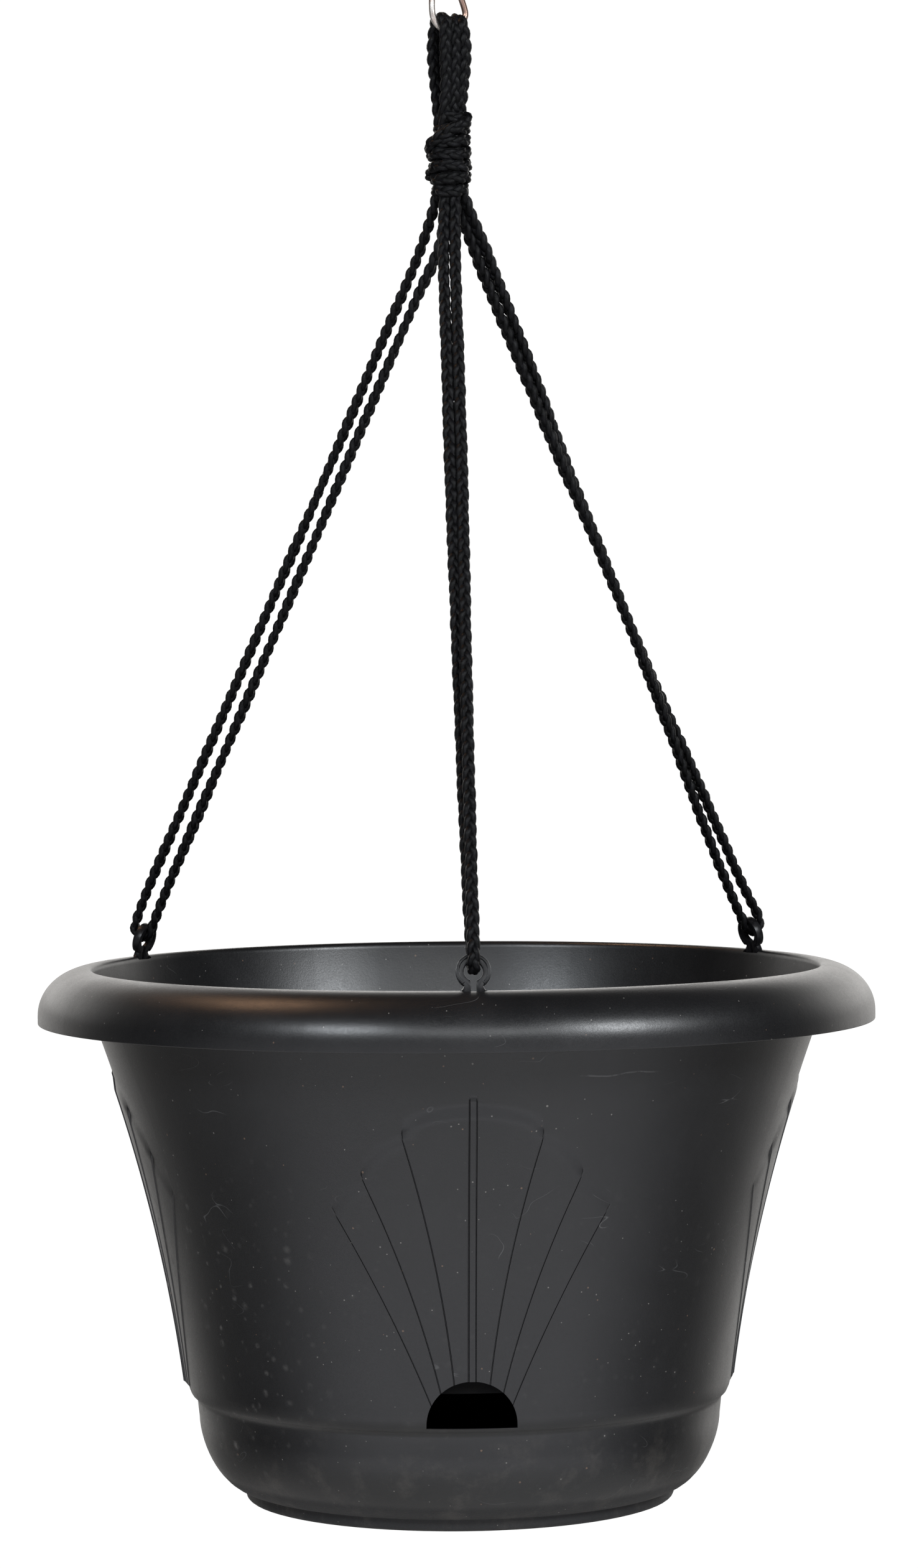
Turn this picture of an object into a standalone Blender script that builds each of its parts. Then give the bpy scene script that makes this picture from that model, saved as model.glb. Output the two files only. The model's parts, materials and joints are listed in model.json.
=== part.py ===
"""Self-watering hanging basket: a moulded planter on three doubled cords, under a wire S-hook.

Units are metres and +Z is up. The origin is the hanging point, inside the top of the S-hook's
upper bend, and -Y is the front, the side with the fill window. Heights named H_ are measured
from the crest of the planter's rim.
"""

import math

import bpy
import bmesh
from mathutils import Matrix, Vector

MM = 0.001

# Suspension heights
H_HOOK_BEND = 334.5 * MM          # wire centre at the bottom of the hook's lower bend
H_KNOT_TOP = 306.0 * MM
H_KNOT_BOTTOM = 278.5 * MM

# S-hook
WIRE_RADIUS = 1.15 * MM
HOOK_LOWER_RADIUS = 7.2 * MM
HOOK_UPPER_RADIUS = 9.0 * MM
HOOK_SPAN = 51.0 * MM             # hanging point down to the wire centre of the lower bend
HOOK_YAW = math.radians(32.0)
HOOK_TIP_LENGTH = 5.0 * MM

# Planter shell
RIM_RADIUS = 150.4 * MM
CREST_RADIUS = 132.0 * MM
CREST_INNER_RADIUS = 130.6 * MM
RIM_ROLL_DROP = 16.5 * MM
RIM_LIP_DROP = 19.5 * MM
WALL = 1.9 * MM
WALL_TOP_RADIUS = 130.0 * MM      # outside of the wall, level with the lip
SKIRT_RADIUS = 97.8 * MM          # outside of the wall, just above the step
H_SKIRT = -149.0 * MM
FLARE_STRAIGHT_SHARE = 0.53
STEP_RADIUS = 94.5 * MM
H_STEP = -154.9 * MM
BOWL_RADIUS = 93.8 * MM
H_BOWL_CURVE = -161.5 * MM
BOWL_CURVE_POWER = 1.7
FOOT_TOP_RADIUS = 78.0 * MM
H_FOOT_TOP = -187.0 * MM
FOOT_RADIUS = 77.2 * MM
H_BASE = -191.5 * MM
FOOT_EDGE = 3.0 * MM
SHELL_SEGMENTS = 48

# Fill window in the front of the skirt
WINDOW_RADIUS = 15.6 * MM
H_WINDOW_SILL = -152.5 * MM
WINDOW_SIDE = 1.2 * MM             # the upright part of its edge, under the arch

# Eye clips, one snapped into a slot in the crest at each azimuth
LEGS = {"front": 0.0, "left": -120.0, "right": 120.0}
CLIP_RADIUS = 133.9 * MM
CLIP_THICKNESS = 3.0 * MM
EYE_OUTER_RADIUS = 5.9 * MM
EYE_HOLE_RADIUS = 3.25 * MM
H_EYE = 6.4 * MM
CLIP_NECK_HALF = 3.2 * MM
CLIP_SPLIT_HALF = 0.92 * MM
CLIP_BARB_HALF = 5.3 * MM
CLIP_BARB_TOP = -2.6 * MM
CLIP_BOTTOM = -6.8 * MM
H_CLIP_BEND = 0.9 * MM
CLIP_LEAN = math.radians(16.0)    # the eye leans in, along the pull of its cord
SLOT_WIDTH = 9.0 * MM
SLOT_GAP = 0.3 * MM

# Reservoir floor, which stands on its wick cups inside the bowl
FLOOR_RADIUS = 96.9 * MM
FLOOR_THICKNESS = 1.8 * MM
H_FLOOR = -132.0 * MM
H_FLOOR_SKIRT = -140.5 * MM
FLOOR_SKIRT_RADIUS = 96.0 * MM
CUP_COUNT = 4
CUP_PITCH_RADIUS = 52.0 * MM
CUP_TOP_RADIUS = 15.0 * MM
CUP_BOTTOM_RADIUS = 10.5 * MM
CUP_SLOT_WIDTH = 3.2 * MM
CUP_SLOT_HEIGHT = 24.0 * MM
HOLE_RADIUS = 2.6 * MM
HOLE_RINGS = ((14.0 * MM, 4), (30.0 * MM, 8), (80.0 * MM, 12))
REST_GAP = 0.3 * MM

# Cords
CORD_RADIUS = 1.6 * MM
CORD_POINT_SPACING = 9.5 * MM
KNOT_RADIUS = 6.3 * MM
KNOT_WRAPS = 6
KNOT_WRAP_BULGE = 0.9 * MM
LOOP_OFFSETS = {"left": -3.4 * MM, "middle": 0.0, "right": 3.4 * MM}
LOOP_SIDE_LIFT = 1.2 * MM         # the side cords ride up the bend of the wire

# One doubled cord per leg: down from the knot, through the eye and back up to the knot.
# Each point is (distance out from the axis, distance along the rim, height), in millimetres.
EYE_TURN = (
    (127.4, 0.0, 10.6), (128.3, 0.0, 8.25), (130.0, 0.0, 6.8), (132.2, 0.0, 6.75),
    (134.05, 0.0, 7.95), (134.75, 0.0, 10.1), (134.3, 0.0, 12.6),
)
LEG_ROUTES = {
    "front": (
        (2.9, -2.0, 277.2), (11.8, -3.0, 253.0), (32.0, -2.9, 213.0), (52.0, -2.8, 172.0),
        (84.0, -2.0, 105.0), (109.6, -1.2, 50.0), (122.9, -0.5, 21.0),
        *EYE_TURN,
        (130.0, 0.0, 21.0), (114.9, 0.1, 50.0), (86.8, 0.4, 105.0),
        (52.5, 1.1, 172.0), (32.5, 1.1, 213.0), (12.4, 1.1, 253.0), (2.9, 1.6, 277.2),
    ),
    "left": (
        (2.8, -1.4, 277.2), (4.9, -1.5, 259.0), (14.4, -0.8, 239.5), (24.1, -0.3, 219.7),
        (63.7, 0.0, 139.4), (104.8, 0.0, 57.2), (122.2, 0.0, 22.2),
        *EYE_TURN,
        (130.3, 0.0, 22.2), (112.7, 0.0, 57.2), (91.6, 0.0, 98.6), (50.3, 0.0, 180.0),
        (30.4, 0.2, 220.0), (10.9, 1.2, 258.5), (4.1, 1.7, 277.2),
    ),
    "right": (
        (2.8, 1.4, 277.2), (12.3, 0.8, 253.0), (31.0, -0.2, 213.0), (43.9, -0.95, 186.0),
        (64.6, -1.45, 145.0), (83.6, -1.2, 105.0), (96.1, -0.5, 78.0), (107.9, 0.0, 51.0),
        (121.9, 0.0, 21.0),
        *EYE_TURN,
        (129.1, 0.0, 21.0), (113.4, 0.0, 51.0), (99.8, 0.6, 78.0), (86.2, 1.2, 105.0),
        (66.8, 1.45, 145.0), (47.1, 0.95, 186.0), (35.2, 0.2, 213.0), (16.1, -0.8, 253.0),
        (4.1, -1.7, 277.2),
    ),
}

# Each loop cord: up from the knot behind the hook, over its wire and down in front.
# Each point is (distance in front of the wire, height over the wire centre, spread share).
LOOP_ROUTE = (
    (-2.0, -27.9, 0.97), (-3.2, -21.5, 1.02), (-3.8, -13.5, 1.15), (-3.9, -6.0, 1.25),
    (-3.65, -0.4, 1.08), (-2.4, 2.6, 1.0), (0.0, 3.7, 1.0), (2.4, 2.6, 1.0), (3.65, -0.4, 1.08),
    (3.9, -6.0, 1.25), (3.8, -13.5, 1.15), (3.2, -21.5, 1.02), (2.0, -27.9, 0.97),
)

Z_CREST = -HOOK_SPAN - H_HOOK_BEND
UP = Vector((0.0, 0.0, 1.0))


# ---------------------------------------------------------------- helpers

def clear_scene():
    for obj in list(bpy.data.objects):
        bpy.data.objects.remove(obj, do_unlink=True)


def material(name, colour, roughness, metallic=0.0):
    mat = bpy.data.materials.new(name)
    mat.use_nodes = True
    shader = mat.node_tree.nodes["Principled BSDF"]
    shader.inputs["Base Color"].default_value = (*colour, 1.0)
    shader.inputs["Roughness"].default_value = roughness
    shader.inputs["Metallic"].default_value = metallic
    mat.diffuse_color = (*colour, 1.0)
    return mat


def add_mesh_object(name, bm, mat=None, location=(0.0, 0.0, 0.0)):
    """Turns a bmesh, given in world space, into an object whose origin is at location."""
    bmesh.ops.translate(bm, verts=bm.verts, vec=-Vector(location))
    bmesh.ops.recalc_face_normals(bm, faces=bm.faces)
    mesh = bpy.data.meshes.new(name)
    bm.to_mesh(mesh)
    bm.free()
    if mat:
        mesh.materials.append(mat)
    obj = bpy.data.objects.new(name, mesh)
    obj.location = location
    bpy.context.collection.objects.link(obj)
    return obj


def shade_smooth(obj, angle_deg=35.0):
    obj.data.shade_smooth()
    obj.data.set_sharp_from_angle(angle=math.radians(angle_deg))


def turned(profile, segments, centre=(0.0, 0.0)):
    """A closed mesh: the (radius, height) profile spun about a vertical axis through centre."""
    bm = bmesh.new()
    verts = [bm.verts.new((r, 0.0, z)) for r, z in profile]
    ends_on_axis = profile[0][0] == 0.0 and profile[-1][0] == 0.0
    pairs = list(zip(verts, verts[1:]))
    if not ends_on_axis:
        pairs.append((verts[-1], verts[0]))
    edges = [bm.edges.new(pair) for pair in pairs]
    bmesh.ops.spin(
        bm, geom=verts + edges, cent=(0, 0, 0), axis=(0, 0, 1),
        angle=2 * math.pi, steps=segments, use_merge=True,
    )
    bmesh.ops.remove_doubles(bm, verts=bm.verts, dist=1e-6)
    bmesh.ops.translate(bm, verts=bm.verts, vec=(centre[0], centre[1], 0.0))
    return bm


def prism(outline, depth, matrix):
    """A closed prism: a flat outline of (x, z) points, depth thick along y, placed by matrix."""
    bm = bmesh.new()
    front = [bm.verts.new((x, -depth / 2, z)) for x, z in outline]
    face = bm.faces.new(front)
    grown = bmesh.ops.extrude_face_region(bm, geom=[face])
    moved = [item for item in grown["geom"] if isinstance(item, bmesh.types.BMVert)]
    bmesh.ops.translate(bm, verts=moved, vec=(0.0, depth, 0.0))
    bmesh.ops.transform(bm, matrix=matrix, verts=bm.verts)
    return bm


def box(size, matrix):
    bm = bmesh.new()
    bmesh.ops.create_cube(bm, size=1.0, matrix=matrix @ Matrix.Diagonal((*size, 1.0)))
    return bm


def merged(parts):
    """One bmesh holding every bmesh in parts."""
    whole = bmesh.new()
    for part in parts:
        scratch = bpy.data.meshes.new("scratch")
        part.to_mesh(scratch)
        part.free()
        whole.from_mesh(scratch)
        bpy.data.meshes.remove(scratch)
    return whole


def boolean(obj, operation, bm, name, solver="EXACT"):
    """Cuts or joins a hidden helper mesh on obj."""
    helper = add_mesh_object(name, bm)
    helper.hide_render = True
    helper.display_type = "WIRE"
    modifier = obj.modifiers.new(name, "BOOLEAN")
    modifier.operation = operation
    modifier.object = helper
    modifier.solver = solver


def arc(centre, radius, start_deg, end_deg, steps):
    """Points on an arc, as (x, z), ends included."""
    points = []
    for i in range(steps + 1):
        angle = math.radians(start_deg + (end_deg - start_deg) * i / steps)
        points.append((centre[0] + radius * math.cos(angle), centre[1] + radius * math.sin(angle)))
    return points


def smooth_route(points, spacing):
    """Points along a centripetal Catmull-Rom curve through points, about spacing apart."""
    ends = [points[0] * 2 - points[1], *points, points[-1] * 2 - points[-2]]
    route = [points[0]]
    for p0, p1, p2, p3 in zip(ends, ends[1:], ends[2:], ends[3:]):
        knots = [0.0]
        for a, b in ((p0, p1), (p1, p2), (p2, p3)):
            knots.append(knots[-1] + math.sqrt((b - a).length))
        t0, t1, t2, t3 = knots
        steps = max(1, round((p2 - p1).length / spacing))
        for i in range(1, steps + 1):
            t = t1 + (t2 - t1) * i / steps
            a1 = p0 * ((t1 - t) / (t1 - t0)) + p1 * ((t - t0) / (t1 - t0))
            a2 = p1 * ((t2 - t) / (t2 - t1)) + p2 * ((t - t1) / (t2 - t1))
            a3 = p2 * ((t3 - t) / (t3 - t2)) + p3 * ((t - t2) / (t3 - t2))
            b1 = a1 * ((t2 - t) / (t2 - t0)) + a2 * ((t - t0) / (t2 - t0))
            b2 = a2 * ((t3 - t) / (t3 - t1)) + a3 * ((t - t1) / (t3 - t1))
            route.append(b1 * ((t2 - t) / (t2 - t1)) + b2 * ((t - t1) / (t2 - t1)))
    return route


def tube(name, points, radius, mat, origin):
    """A round bar or cord along points, as a poly curve with capped ends."""
    curve = bpy.data.curves.new(name, "CURVE")
    curve.dimensions = "3D"
    curve.bevel_depth = radius
    curve.bevel_resolution = 2
    curve.use_fill_caps = True
    spline = curve.splines.new("POLY")
    spline.points.add(len(points) - 1)
    for point, co in zip(spline.points, points):
        point.co = (*(co - origin), 1.0)
    curve.materials.append(mat)
    obj = bpy.data.objects.new(name, curve)
    obj.location = origin
    bpy.context.collection.objects.link(obj)
    return obj


# ---------------------------------------------------------------- suspension

def hook_direction():
    return Vector((math.cos(HOOK_YAW), math.sin(HOOK_YAW), 0.0))


def build_hook(mat):
    """The wire S-hook, whose lower bend opens to the left and upper bend to the right."""
    along = hook_direction()
    upper = (0.0, -HOOK_UPPER_RADIUS + WIRE_RADIUS)
    lower = (0.0, -HOOK_SPAN + HOOK_LOWER_RADIUS)
    outline = [(upper[0] + HOOK_UPPER_RADIUS, upper[1] - HOOK_TIP_LENGTH)]
    outline += arc(upper, HOOK_UPPER_RADIUS, 0, 180, 12)
    outline += arc(lower, HOOK_LOWER_RADIUS, 0, -180, 10)
    outline.append((lower[0] - HOOK_LOWER_RADIUS, lower[1] + HOOK_TIP_LENGTH))
    route = [along * x + UP * z for x, z in outline]
    return tube("s_hook", smooth_route(route, 4.0 * MM), WIRE_RADIUS, mat, Vector((0, 0, 0)))


def build_loop_cords(mat):
    """Three cords side by side over the hook's lower bend, down to the top of the knot."""
    along = hook_direction()
    forward = Vector((math.sin(HOOK_YAW), -math.cos(HOOK_YAW), 0.0))
    origin = Vector((0.0, 0.0, -HOOK_SPAN))
    for side, offset in LOOP_OFFSETS.items():
        side_lift = LOOP_SIDE_LIFT if offset else 0.0
        route = []
        for out, up, spread in LOOP_ROUTE:
            lift = side_lift if up > -6.0 else 0.0
            route.append(
                origin + forward * (out * MM) + along * (offset * spread) + UP * (up * MM + lift)
            )
        tube(f"loop_cord_{side}", smooth_route(route, 5.0 * MM), CORD_RADIUS, mat, origin)


def build_knot(mat):
    """The whipped knot, a ring of bulges for its turns of cord."""
    height = H_KNOT_TOP - H_KNOT_BOTTOM
    steps = KNOT_WRAPS * 4
    profile = [(0.0, Z_CREST + H_KNOT_TOP)]
    for i in range(steps + 1):
        share = i / steps
        bulge = KNOT_WRAP_BULGE * abs(math.sin(math.pi * KNOT_WRAPS * share))
        radius = KNOT_RADIUS + bulge + 0.8 * MM * math.sin(math.pi * share)
        profile.append((radius, Z_CREST + H_KNOT_TOP - height * share))
    profile.append((0.0, Z_CREST + H_KNOT_BOTTOM))
    location = (0.0, 0.0, Z_CREST + H_KNOT_TOP)
    knot = add_mesh_object("whipping_knot", turned(profile, 12), mat, location)
    shade_smooth(knot)


def build_leg_cords(mat):
    """One doubled cord from the knot through each eye and back."""
    origin = Vector((0.0, 0.0, Z_CREST + H_KNOT_BOTTOM))
    for side, azimuth_deg in LEGS.items():
        azimuth = math.radians(azimuth_deg)
        out = Vector((math.sin(azimuth), -math.cos(azimuth), 0.0))
        along = Vector((math.cos(azimuth), math.sin(azimuth), 0.0))
        route = [
            (out * r + along * t + UP * h) * MM + UP * Z_CREST for r, t, h in LEG_ROUTES[side]
        ]
        tube(f"leg_cord_{side}", smooth_route(route, CORD_POINT_SPACING), CORD_RADIUS, mat, origin)


# ---------------------------------------------------------------- planter

def clip_matrix(azimuth_deg):
    """Stands a part on the crest at an azimuth, with its y axis pointing inwards."""
    turn = Matrix.Rotation(math.radians(azimuth_deg), 4, "Z")
    return turn @ Matrix.Translation((0.0, -CLIP_RADIUS, Z_CREST))


def lean_inwards(bm):
    """Bends all of an upright clip over H_CLIP_BEND towards +y."""
    geometry = [*bm.verts, *bm.edges, *bm.faces]
    bend = (0.0, 0.0, H_CLIP_BEND)
    bmesh.ops.bisect_plane(bm, geom=geometry, plane_co=bend, plane_no=UP)
    upper = [v for v in bm.verts if v.co.z > H_CLIP_BEND + 0.01 * MM]
    turn = Matrix.Rotation(-CLIP_LEAN, 3, "X")
    bmesh.ops.rotate(bm, verts=upper, cent=bend, matrix=turn)


def build_eye_clips(mat):
    """Split spring clips: an eye over two barbed legs that snap under the crest."""
    neck_angle = math.degrees(math.asin(CLIP_NECK_HALF / EYE_OUTER_RADIUS))
    split_angle = math.degrees(math.asin(CLIP_SPLIT_HALF / EYE_HOLE_RADIUS))
    outline = [
        (CLIP_SPLIT_HALF, CLIP_BOTTOM),
        (CLIP_NECK_HALF, CLIP_BOTTOM),
        (CLIP_BARB_HALF, CLIP_BARB_TOP - 1.0 * MM),
        (CLIP_BARB_HALF, CLIP_BARB_TOP),
        (CLIP_NECK_HALF + 0.2 * MM, CLIP_BARB_TOP),
        (CLIP_NECK_HALF + 0.2 * MM, 0.0),
    ]
    outline += arc((0.0, H_EYE), EYE_OUTER_RADIUS, -90 + neck_angle, 270 - neck_angle, 20)
    outline += [(-x, z) for x, z in reversed(outline[:6])]
    outline += arc((0.0, H_EYE), EYE_HOLE_RADIUS, 270 - split_angle, -90 + split_angle, 16)
    for side, azimuth in LEGS.items():
        placed = clip_matrix(azimuth)
        bm = prism(outline, CLIP_THICKNESS, Matrix())
        lean_inwards(bm)
        bmesh.ops.transform(bm, matrix=placed, verts=bm.verts)
        clip = add_mesh_object(f"eye_clip_{side}", bm, mat, placed.translation)
        shade_smooth(clip)


def wall_radius(height, inset):
    """Outside radius of the flared wall at a height over the crest, less inset."""
    share = (height - H_SKIRT) / (-RIM_LIP_DROP - H_SKIRT)
    bend = FLARE_STRAIGHT_SHARE * share + (1.0 - FLARE_STRAIGHT_SHARE) * share ** 2
    return SKIRT_RADIUS + (WALL_TOP_RADIUS - SKIRT_RADIUS) * bend - inset


def rim_roll(inset, steps):
    """The rolled rim's quarter ellipse, crest to lip, set in by inset."""
    width = RIM_RADIUS - CREST_RADIUS - inset
    drop = RIM_ROLL_DROP - inset
    points = []
    for i in range(steps + 1):
        angle = math.radians(90.0 * i / steps)
        points.append((CREST_RADIUS + width * math.sin(angle), -RIM_ROLL_DROP + drop * math.cos(angle)))
    return points


def bowl_curve(inset, steps):
    """The bowl's side, curving in from the step to the foot, set in by inset."""
    width = BOWL_RADIUS - FOOT_TOP_RADIUS
    depth = H_BOWL_CURVE - H_FOOT_TOP
    points = []
    for i in range(steps + 1):
        angle = math.radians(90.0 * i / steps)
        out = math.cos(angle) ** (2.0 / BOWL_CURVE_POWER)
        down = math.sin(angle) ** (2.0 / BOWL_CURVE_POWER)
        points.append((FOOT_TOP_RADIUS + width * out - inset, H_BOWL_CURVE - depth * down))
    return points


def shell_profile():
    """The whole wall's section, from the middle of the base outside to the middle inside."""
    wall_steps = 5
    heights = [H_SKIRT + (-RIM_LIP_DROP - H_SKIRT) * i / wall_steps for i in range(wall_steps + 1)]
    outside = [(0.0, H_BASE), (FOOT_RADIUS - FOOT_EDGE, H_BASE)]
    outside += [(FOOT_RADIUS - 0.8 * MM, H_BASE + 1.0 * MM), (FOOT_RADIUS, H_BASE + FOOT_EDGE)]
    outside += list(reversed(bowl_curve(0.0, 4)))
    outside += [(STEP_RADIUS - 0.2 * MM, H_STEP - 2.2 * MM), (STEP_RADIUS, H_STEP)]
    outside += [(96.4 * MM, H_STEP + 1.8 * MM), (97.5 * MM, H_STEP + 4.0 * MM)]
    outside += [(wall_radius(h, 0.0), h) for h in heights]
    under_rim = [(131.1 * MM, -8.0 * MM), (131.7 * MM, -WALL - 1.6 * MM), (133.0 * MM, -WALL - 0.2 * MM)]
    under_rim += rim_roll(WALL, 5)[1:]
    lip = [(RIM_RADIUS - WALL, -RIM_LIP_DROP), (RIM_RADIUS, -RIM_LIP_DROP)]
    over_rim = list(reversed(rim_roll(0.0, 6)))
    inside = [(CREST_INNER_RADIUS + 0.3 * MM, -0.3 * MM), (CREST_INNER_RADIUS, -1.2 * MM)]
    inside += [(wall_radius(h, WALL), h) for h in reversed(heights)]
    inside += [(95.2 * MM, H_STEP + 2.4 * MM), (BOWL_RADIUS - WALL, H_STEP)]
    inside += bowl_curve(WALL, 4)[:-1]
    inside += [(FOOT_TOP_RADIUS - WALL - 0.5 * MM, H_BASE + WALL), (0.0, H_BASE + WALL)]
    section = outside + under_rim + lip + over_rim + inside
    return [(r, Z_CREST + z) for r, z in section]


def window_cutter():
    """An arched bar that passes through the front of the skirt only."""
    sill = Z_CREST + H_WINDOW_SILL
    outline = [(-WINDOW_RADIUS, sill), (WINDOW_RADIUS, sill)]
    outline += arc((0.0, sill + WINDOW_SIDE), WINDOW_RADIUS, 0, 180, 16)
    placed = Matrix.Translation((0.0, -(SKIRT_RADIUS - 2.0 * MM), 0.0))
    return prism(outline, 24.0 * MM, placed)


def slot_cutter(azimuth_deg):
    size = (SLOT_WIDTH, CLIP_THICKNESS + 2 * SLOT_GAP, 8.0 * MM)
    return box(size, clip_matrix(azimuth_deg) @ Matrix.Translation((0.0, 0.0, -1.5 * MM)))


def build_shell(mat):
    location = (0.0, 0.0, Z_CREST)
    shell = add_mesh_object("planter_shell", turned(shell_profile(), SHELL_SEGMENTS), mat, location)
    boolean(shell, "DIFFERENCE", window_cutter(), "window_cutter")
    boolean(shell, "DIFFERENCE", merged([slot_cutter(a) for a in LEGS.values()]), "slot_cutters")
    shade_smooth(shell)


def cup_centres():
    for i in range(CUP_COUNT):
        angle = 2 * math.pi * (i + 0.5) / CUP_COUNT
        yield CUP_PITCH_RADIUS * math.cos(angle), CUP_PITCH_RADIUS * math.sin(angle), angle


def floor_profile():
    """Section of the floor plate and the skirt round its edge."""
    top = Z_CREST + H_FLOOR
    bottom = Z_CREST + H_FLOOR_SKIRT
    inner = FLOOR_SKIRT_RADIUS - FLOOR_THICKNESS
    return [
        (0.0, top), (FLOOR_RADIUS - 0.8 * MM, top), (FLOOR_RADIUS, top - 0.8 * MM),
        (FLOOR_SKIRT_RADIUS, bottom), (inner, bottom), (inner + 0.2 * MM, top - FLOOR_THICKNESS),
        (0.0, top - FLOOR_THICKNESS),
    ]


def cup_solid(centre, inset):
    """One wick cup as a solid cone; with an inset, the space inside it."""
    bottom = Z_CREST + H_BASE + WALL + REST_GAP + inset
    top = Z_CREST + H_FLOOR + (1.0 * MM if inset else -0.5 * FLOOR_THICKNESS)
    profile = [
        (0.0, top), (CUP_TOP_RADIUS - inset, top), (CUP_BOTTOM_RADIUS - inset, bottom), (0.0, bottom),
    ]
    return turned(profile, 12, centre)


def floor_holes():
    """Every opening in the reservoir floor: the cups' insides, their slots and the plate's holes."""
    cutters = []
    slot_middle = Z_CREST + H_BASE + WALL + REST_GAP + FLOOR_THICKNESS + CUP_SLOT_HEIGHT / 2
    for x, y, angle in cup_centres():
        cutters.append(cup_solid((x, y), FLOOR_THICKNESS))
    for ring_radius, count in HOLE_RINGS:
        for i in range(count):
            angle = 2 * math.pi * i / count
            centre = Matrix.Translation(
                (ring_radius * math.cos(angle), ring_radius * math.sin(angle), Z_CREST + H_FLOOR)
            )
            hole = bmesh.new()
            bmesh.ops.create_cone(
                hole, cap_ends=True, segments=8, radius1=HOLE_RADIUS, radius2=HOLE_RADIUS,
                depth=6 * FLOOR_THICKNESS, matrix=centre,
            )
            cutters.append(hole)
    slots = []
    for x, y, angle in cup_centres():
        for turn in (0.0, math.pi / 2):
            placed = Matrix.Translation((x, y, slot_middle)) @ Matrix.Rotation(angle + turn, 4, "Z")
            slots.append(box((3 * CUP_BOTTOM_RADIUS, CUP_SLOT_WIDTH, CUP_SLOT_HEIGHT), placed))
    return merged(cutters), slots


def build_reservoir_floor(mat):
    location = (0.0, 0.0, Z_CREST + H_FLOOR)
    plate = add_mesh_object("reservoir_floor", turned(floor_profile(), 48), mat, location)
    cups = merged([cup_solid((x, y), 0.0) for x, y, angle in cup_centres()])
    boolean(plate, "UNION", cups, "cup_bodies")
    holes, slots = floor_holes()
    boolean(plate, "DIFFERENCE", holes, "floor_hole_cutters")
    boolean(plate, "DIFFERENCE", merged(slots[0::2]), "cup_slot_cutters_a", "MANIFOLD")
    boolean(plate, "DIFFERENCE", merged(slots[1::2]), "cup_slot_cutters_b", "MANIFOLD")
    shade_smooth(plate)


def main():
    clear_scene()
    plastic = material("moulded_plastic", (0.043, 0.043, 0.046), 0.45)
    clip_plastic = material("clip_plastic", (0.02, 0.02, 0.022), 0.25)
    cord = material("braided_cord", (0.012, 0.012, 0.013), 0.6)
    steel = material("hook_steel", (0.62, 0.6, 0.57), 0.25, 1.0)
    build_hook(steel)
    build_loop_cords(cord)
    build_knot(cord)
    build_leg_cords(cord)
    build_eye_clips(clip_plastic)
    build_shell(plastic)
    build_reservoir_floor(plastic)


main()
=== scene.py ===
"""The looks of the hanging basket: moulded shell with its fans, plaited cords, knot, clips and hook."""
import json
import math

import bpy
import bmesh
import numpy as np
from mathutils import Matrix, Vector


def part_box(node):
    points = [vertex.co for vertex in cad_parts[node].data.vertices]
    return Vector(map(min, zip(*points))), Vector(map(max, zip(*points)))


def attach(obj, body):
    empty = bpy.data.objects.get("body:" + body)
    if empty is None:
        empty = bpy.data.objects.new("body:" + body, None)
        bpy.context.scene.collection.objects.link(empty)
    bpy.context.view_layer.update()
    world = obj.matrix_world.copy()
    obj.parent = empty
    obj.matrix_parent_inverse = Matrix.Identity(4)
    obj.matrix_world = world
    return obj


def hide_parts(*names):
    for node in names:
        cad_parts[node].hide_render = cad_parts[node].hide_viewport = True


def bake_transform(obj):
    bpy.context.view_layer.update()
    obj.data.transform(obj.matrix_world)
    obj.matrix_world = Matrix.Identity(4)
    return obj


MM = 0.001
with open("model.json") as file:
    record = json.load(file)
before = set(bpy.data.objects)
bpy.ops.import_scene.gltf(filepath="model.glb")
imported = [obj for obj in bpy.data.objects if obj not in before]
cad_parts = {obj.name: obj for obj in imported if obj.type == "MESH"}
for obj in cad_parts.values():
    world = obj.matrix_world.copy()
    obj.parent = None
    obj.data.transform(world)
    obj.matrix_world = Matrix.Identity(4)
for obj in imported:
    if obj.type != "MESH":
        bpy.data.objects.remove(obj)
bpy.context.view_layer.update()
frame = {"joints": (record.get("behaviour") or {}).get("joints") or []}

# Places that the CAD settles
shell_low, shell_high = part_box("planter_shell")
knot_low, knot_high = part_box("whipping_knot")
clip_low, clip_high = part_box("eye_clip_front")
swing = next(j for j in frame["joints"] if j["name"] == "hook_swing")
Z_CREST = shell_high.z
RIM_RADIUS = shell_high.x
Z_BEND = swing["pos_m"][2]
HOOK_ALONG = Vector(swing["axis"]).normalized()
HOOK_FORWARD = Vector((HOOK_ALONG.y, -HOOK_ALONG.x, 0.0))
CLIP_RADIUS = -(clip_low.y + clip_high.y) / 2
UP = Vector((0.0, 0.0, 1.0))
LEGS = {"front": 0.0, "left": -120.0, "right": 120.0}


# ---------- node helpers

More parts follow.
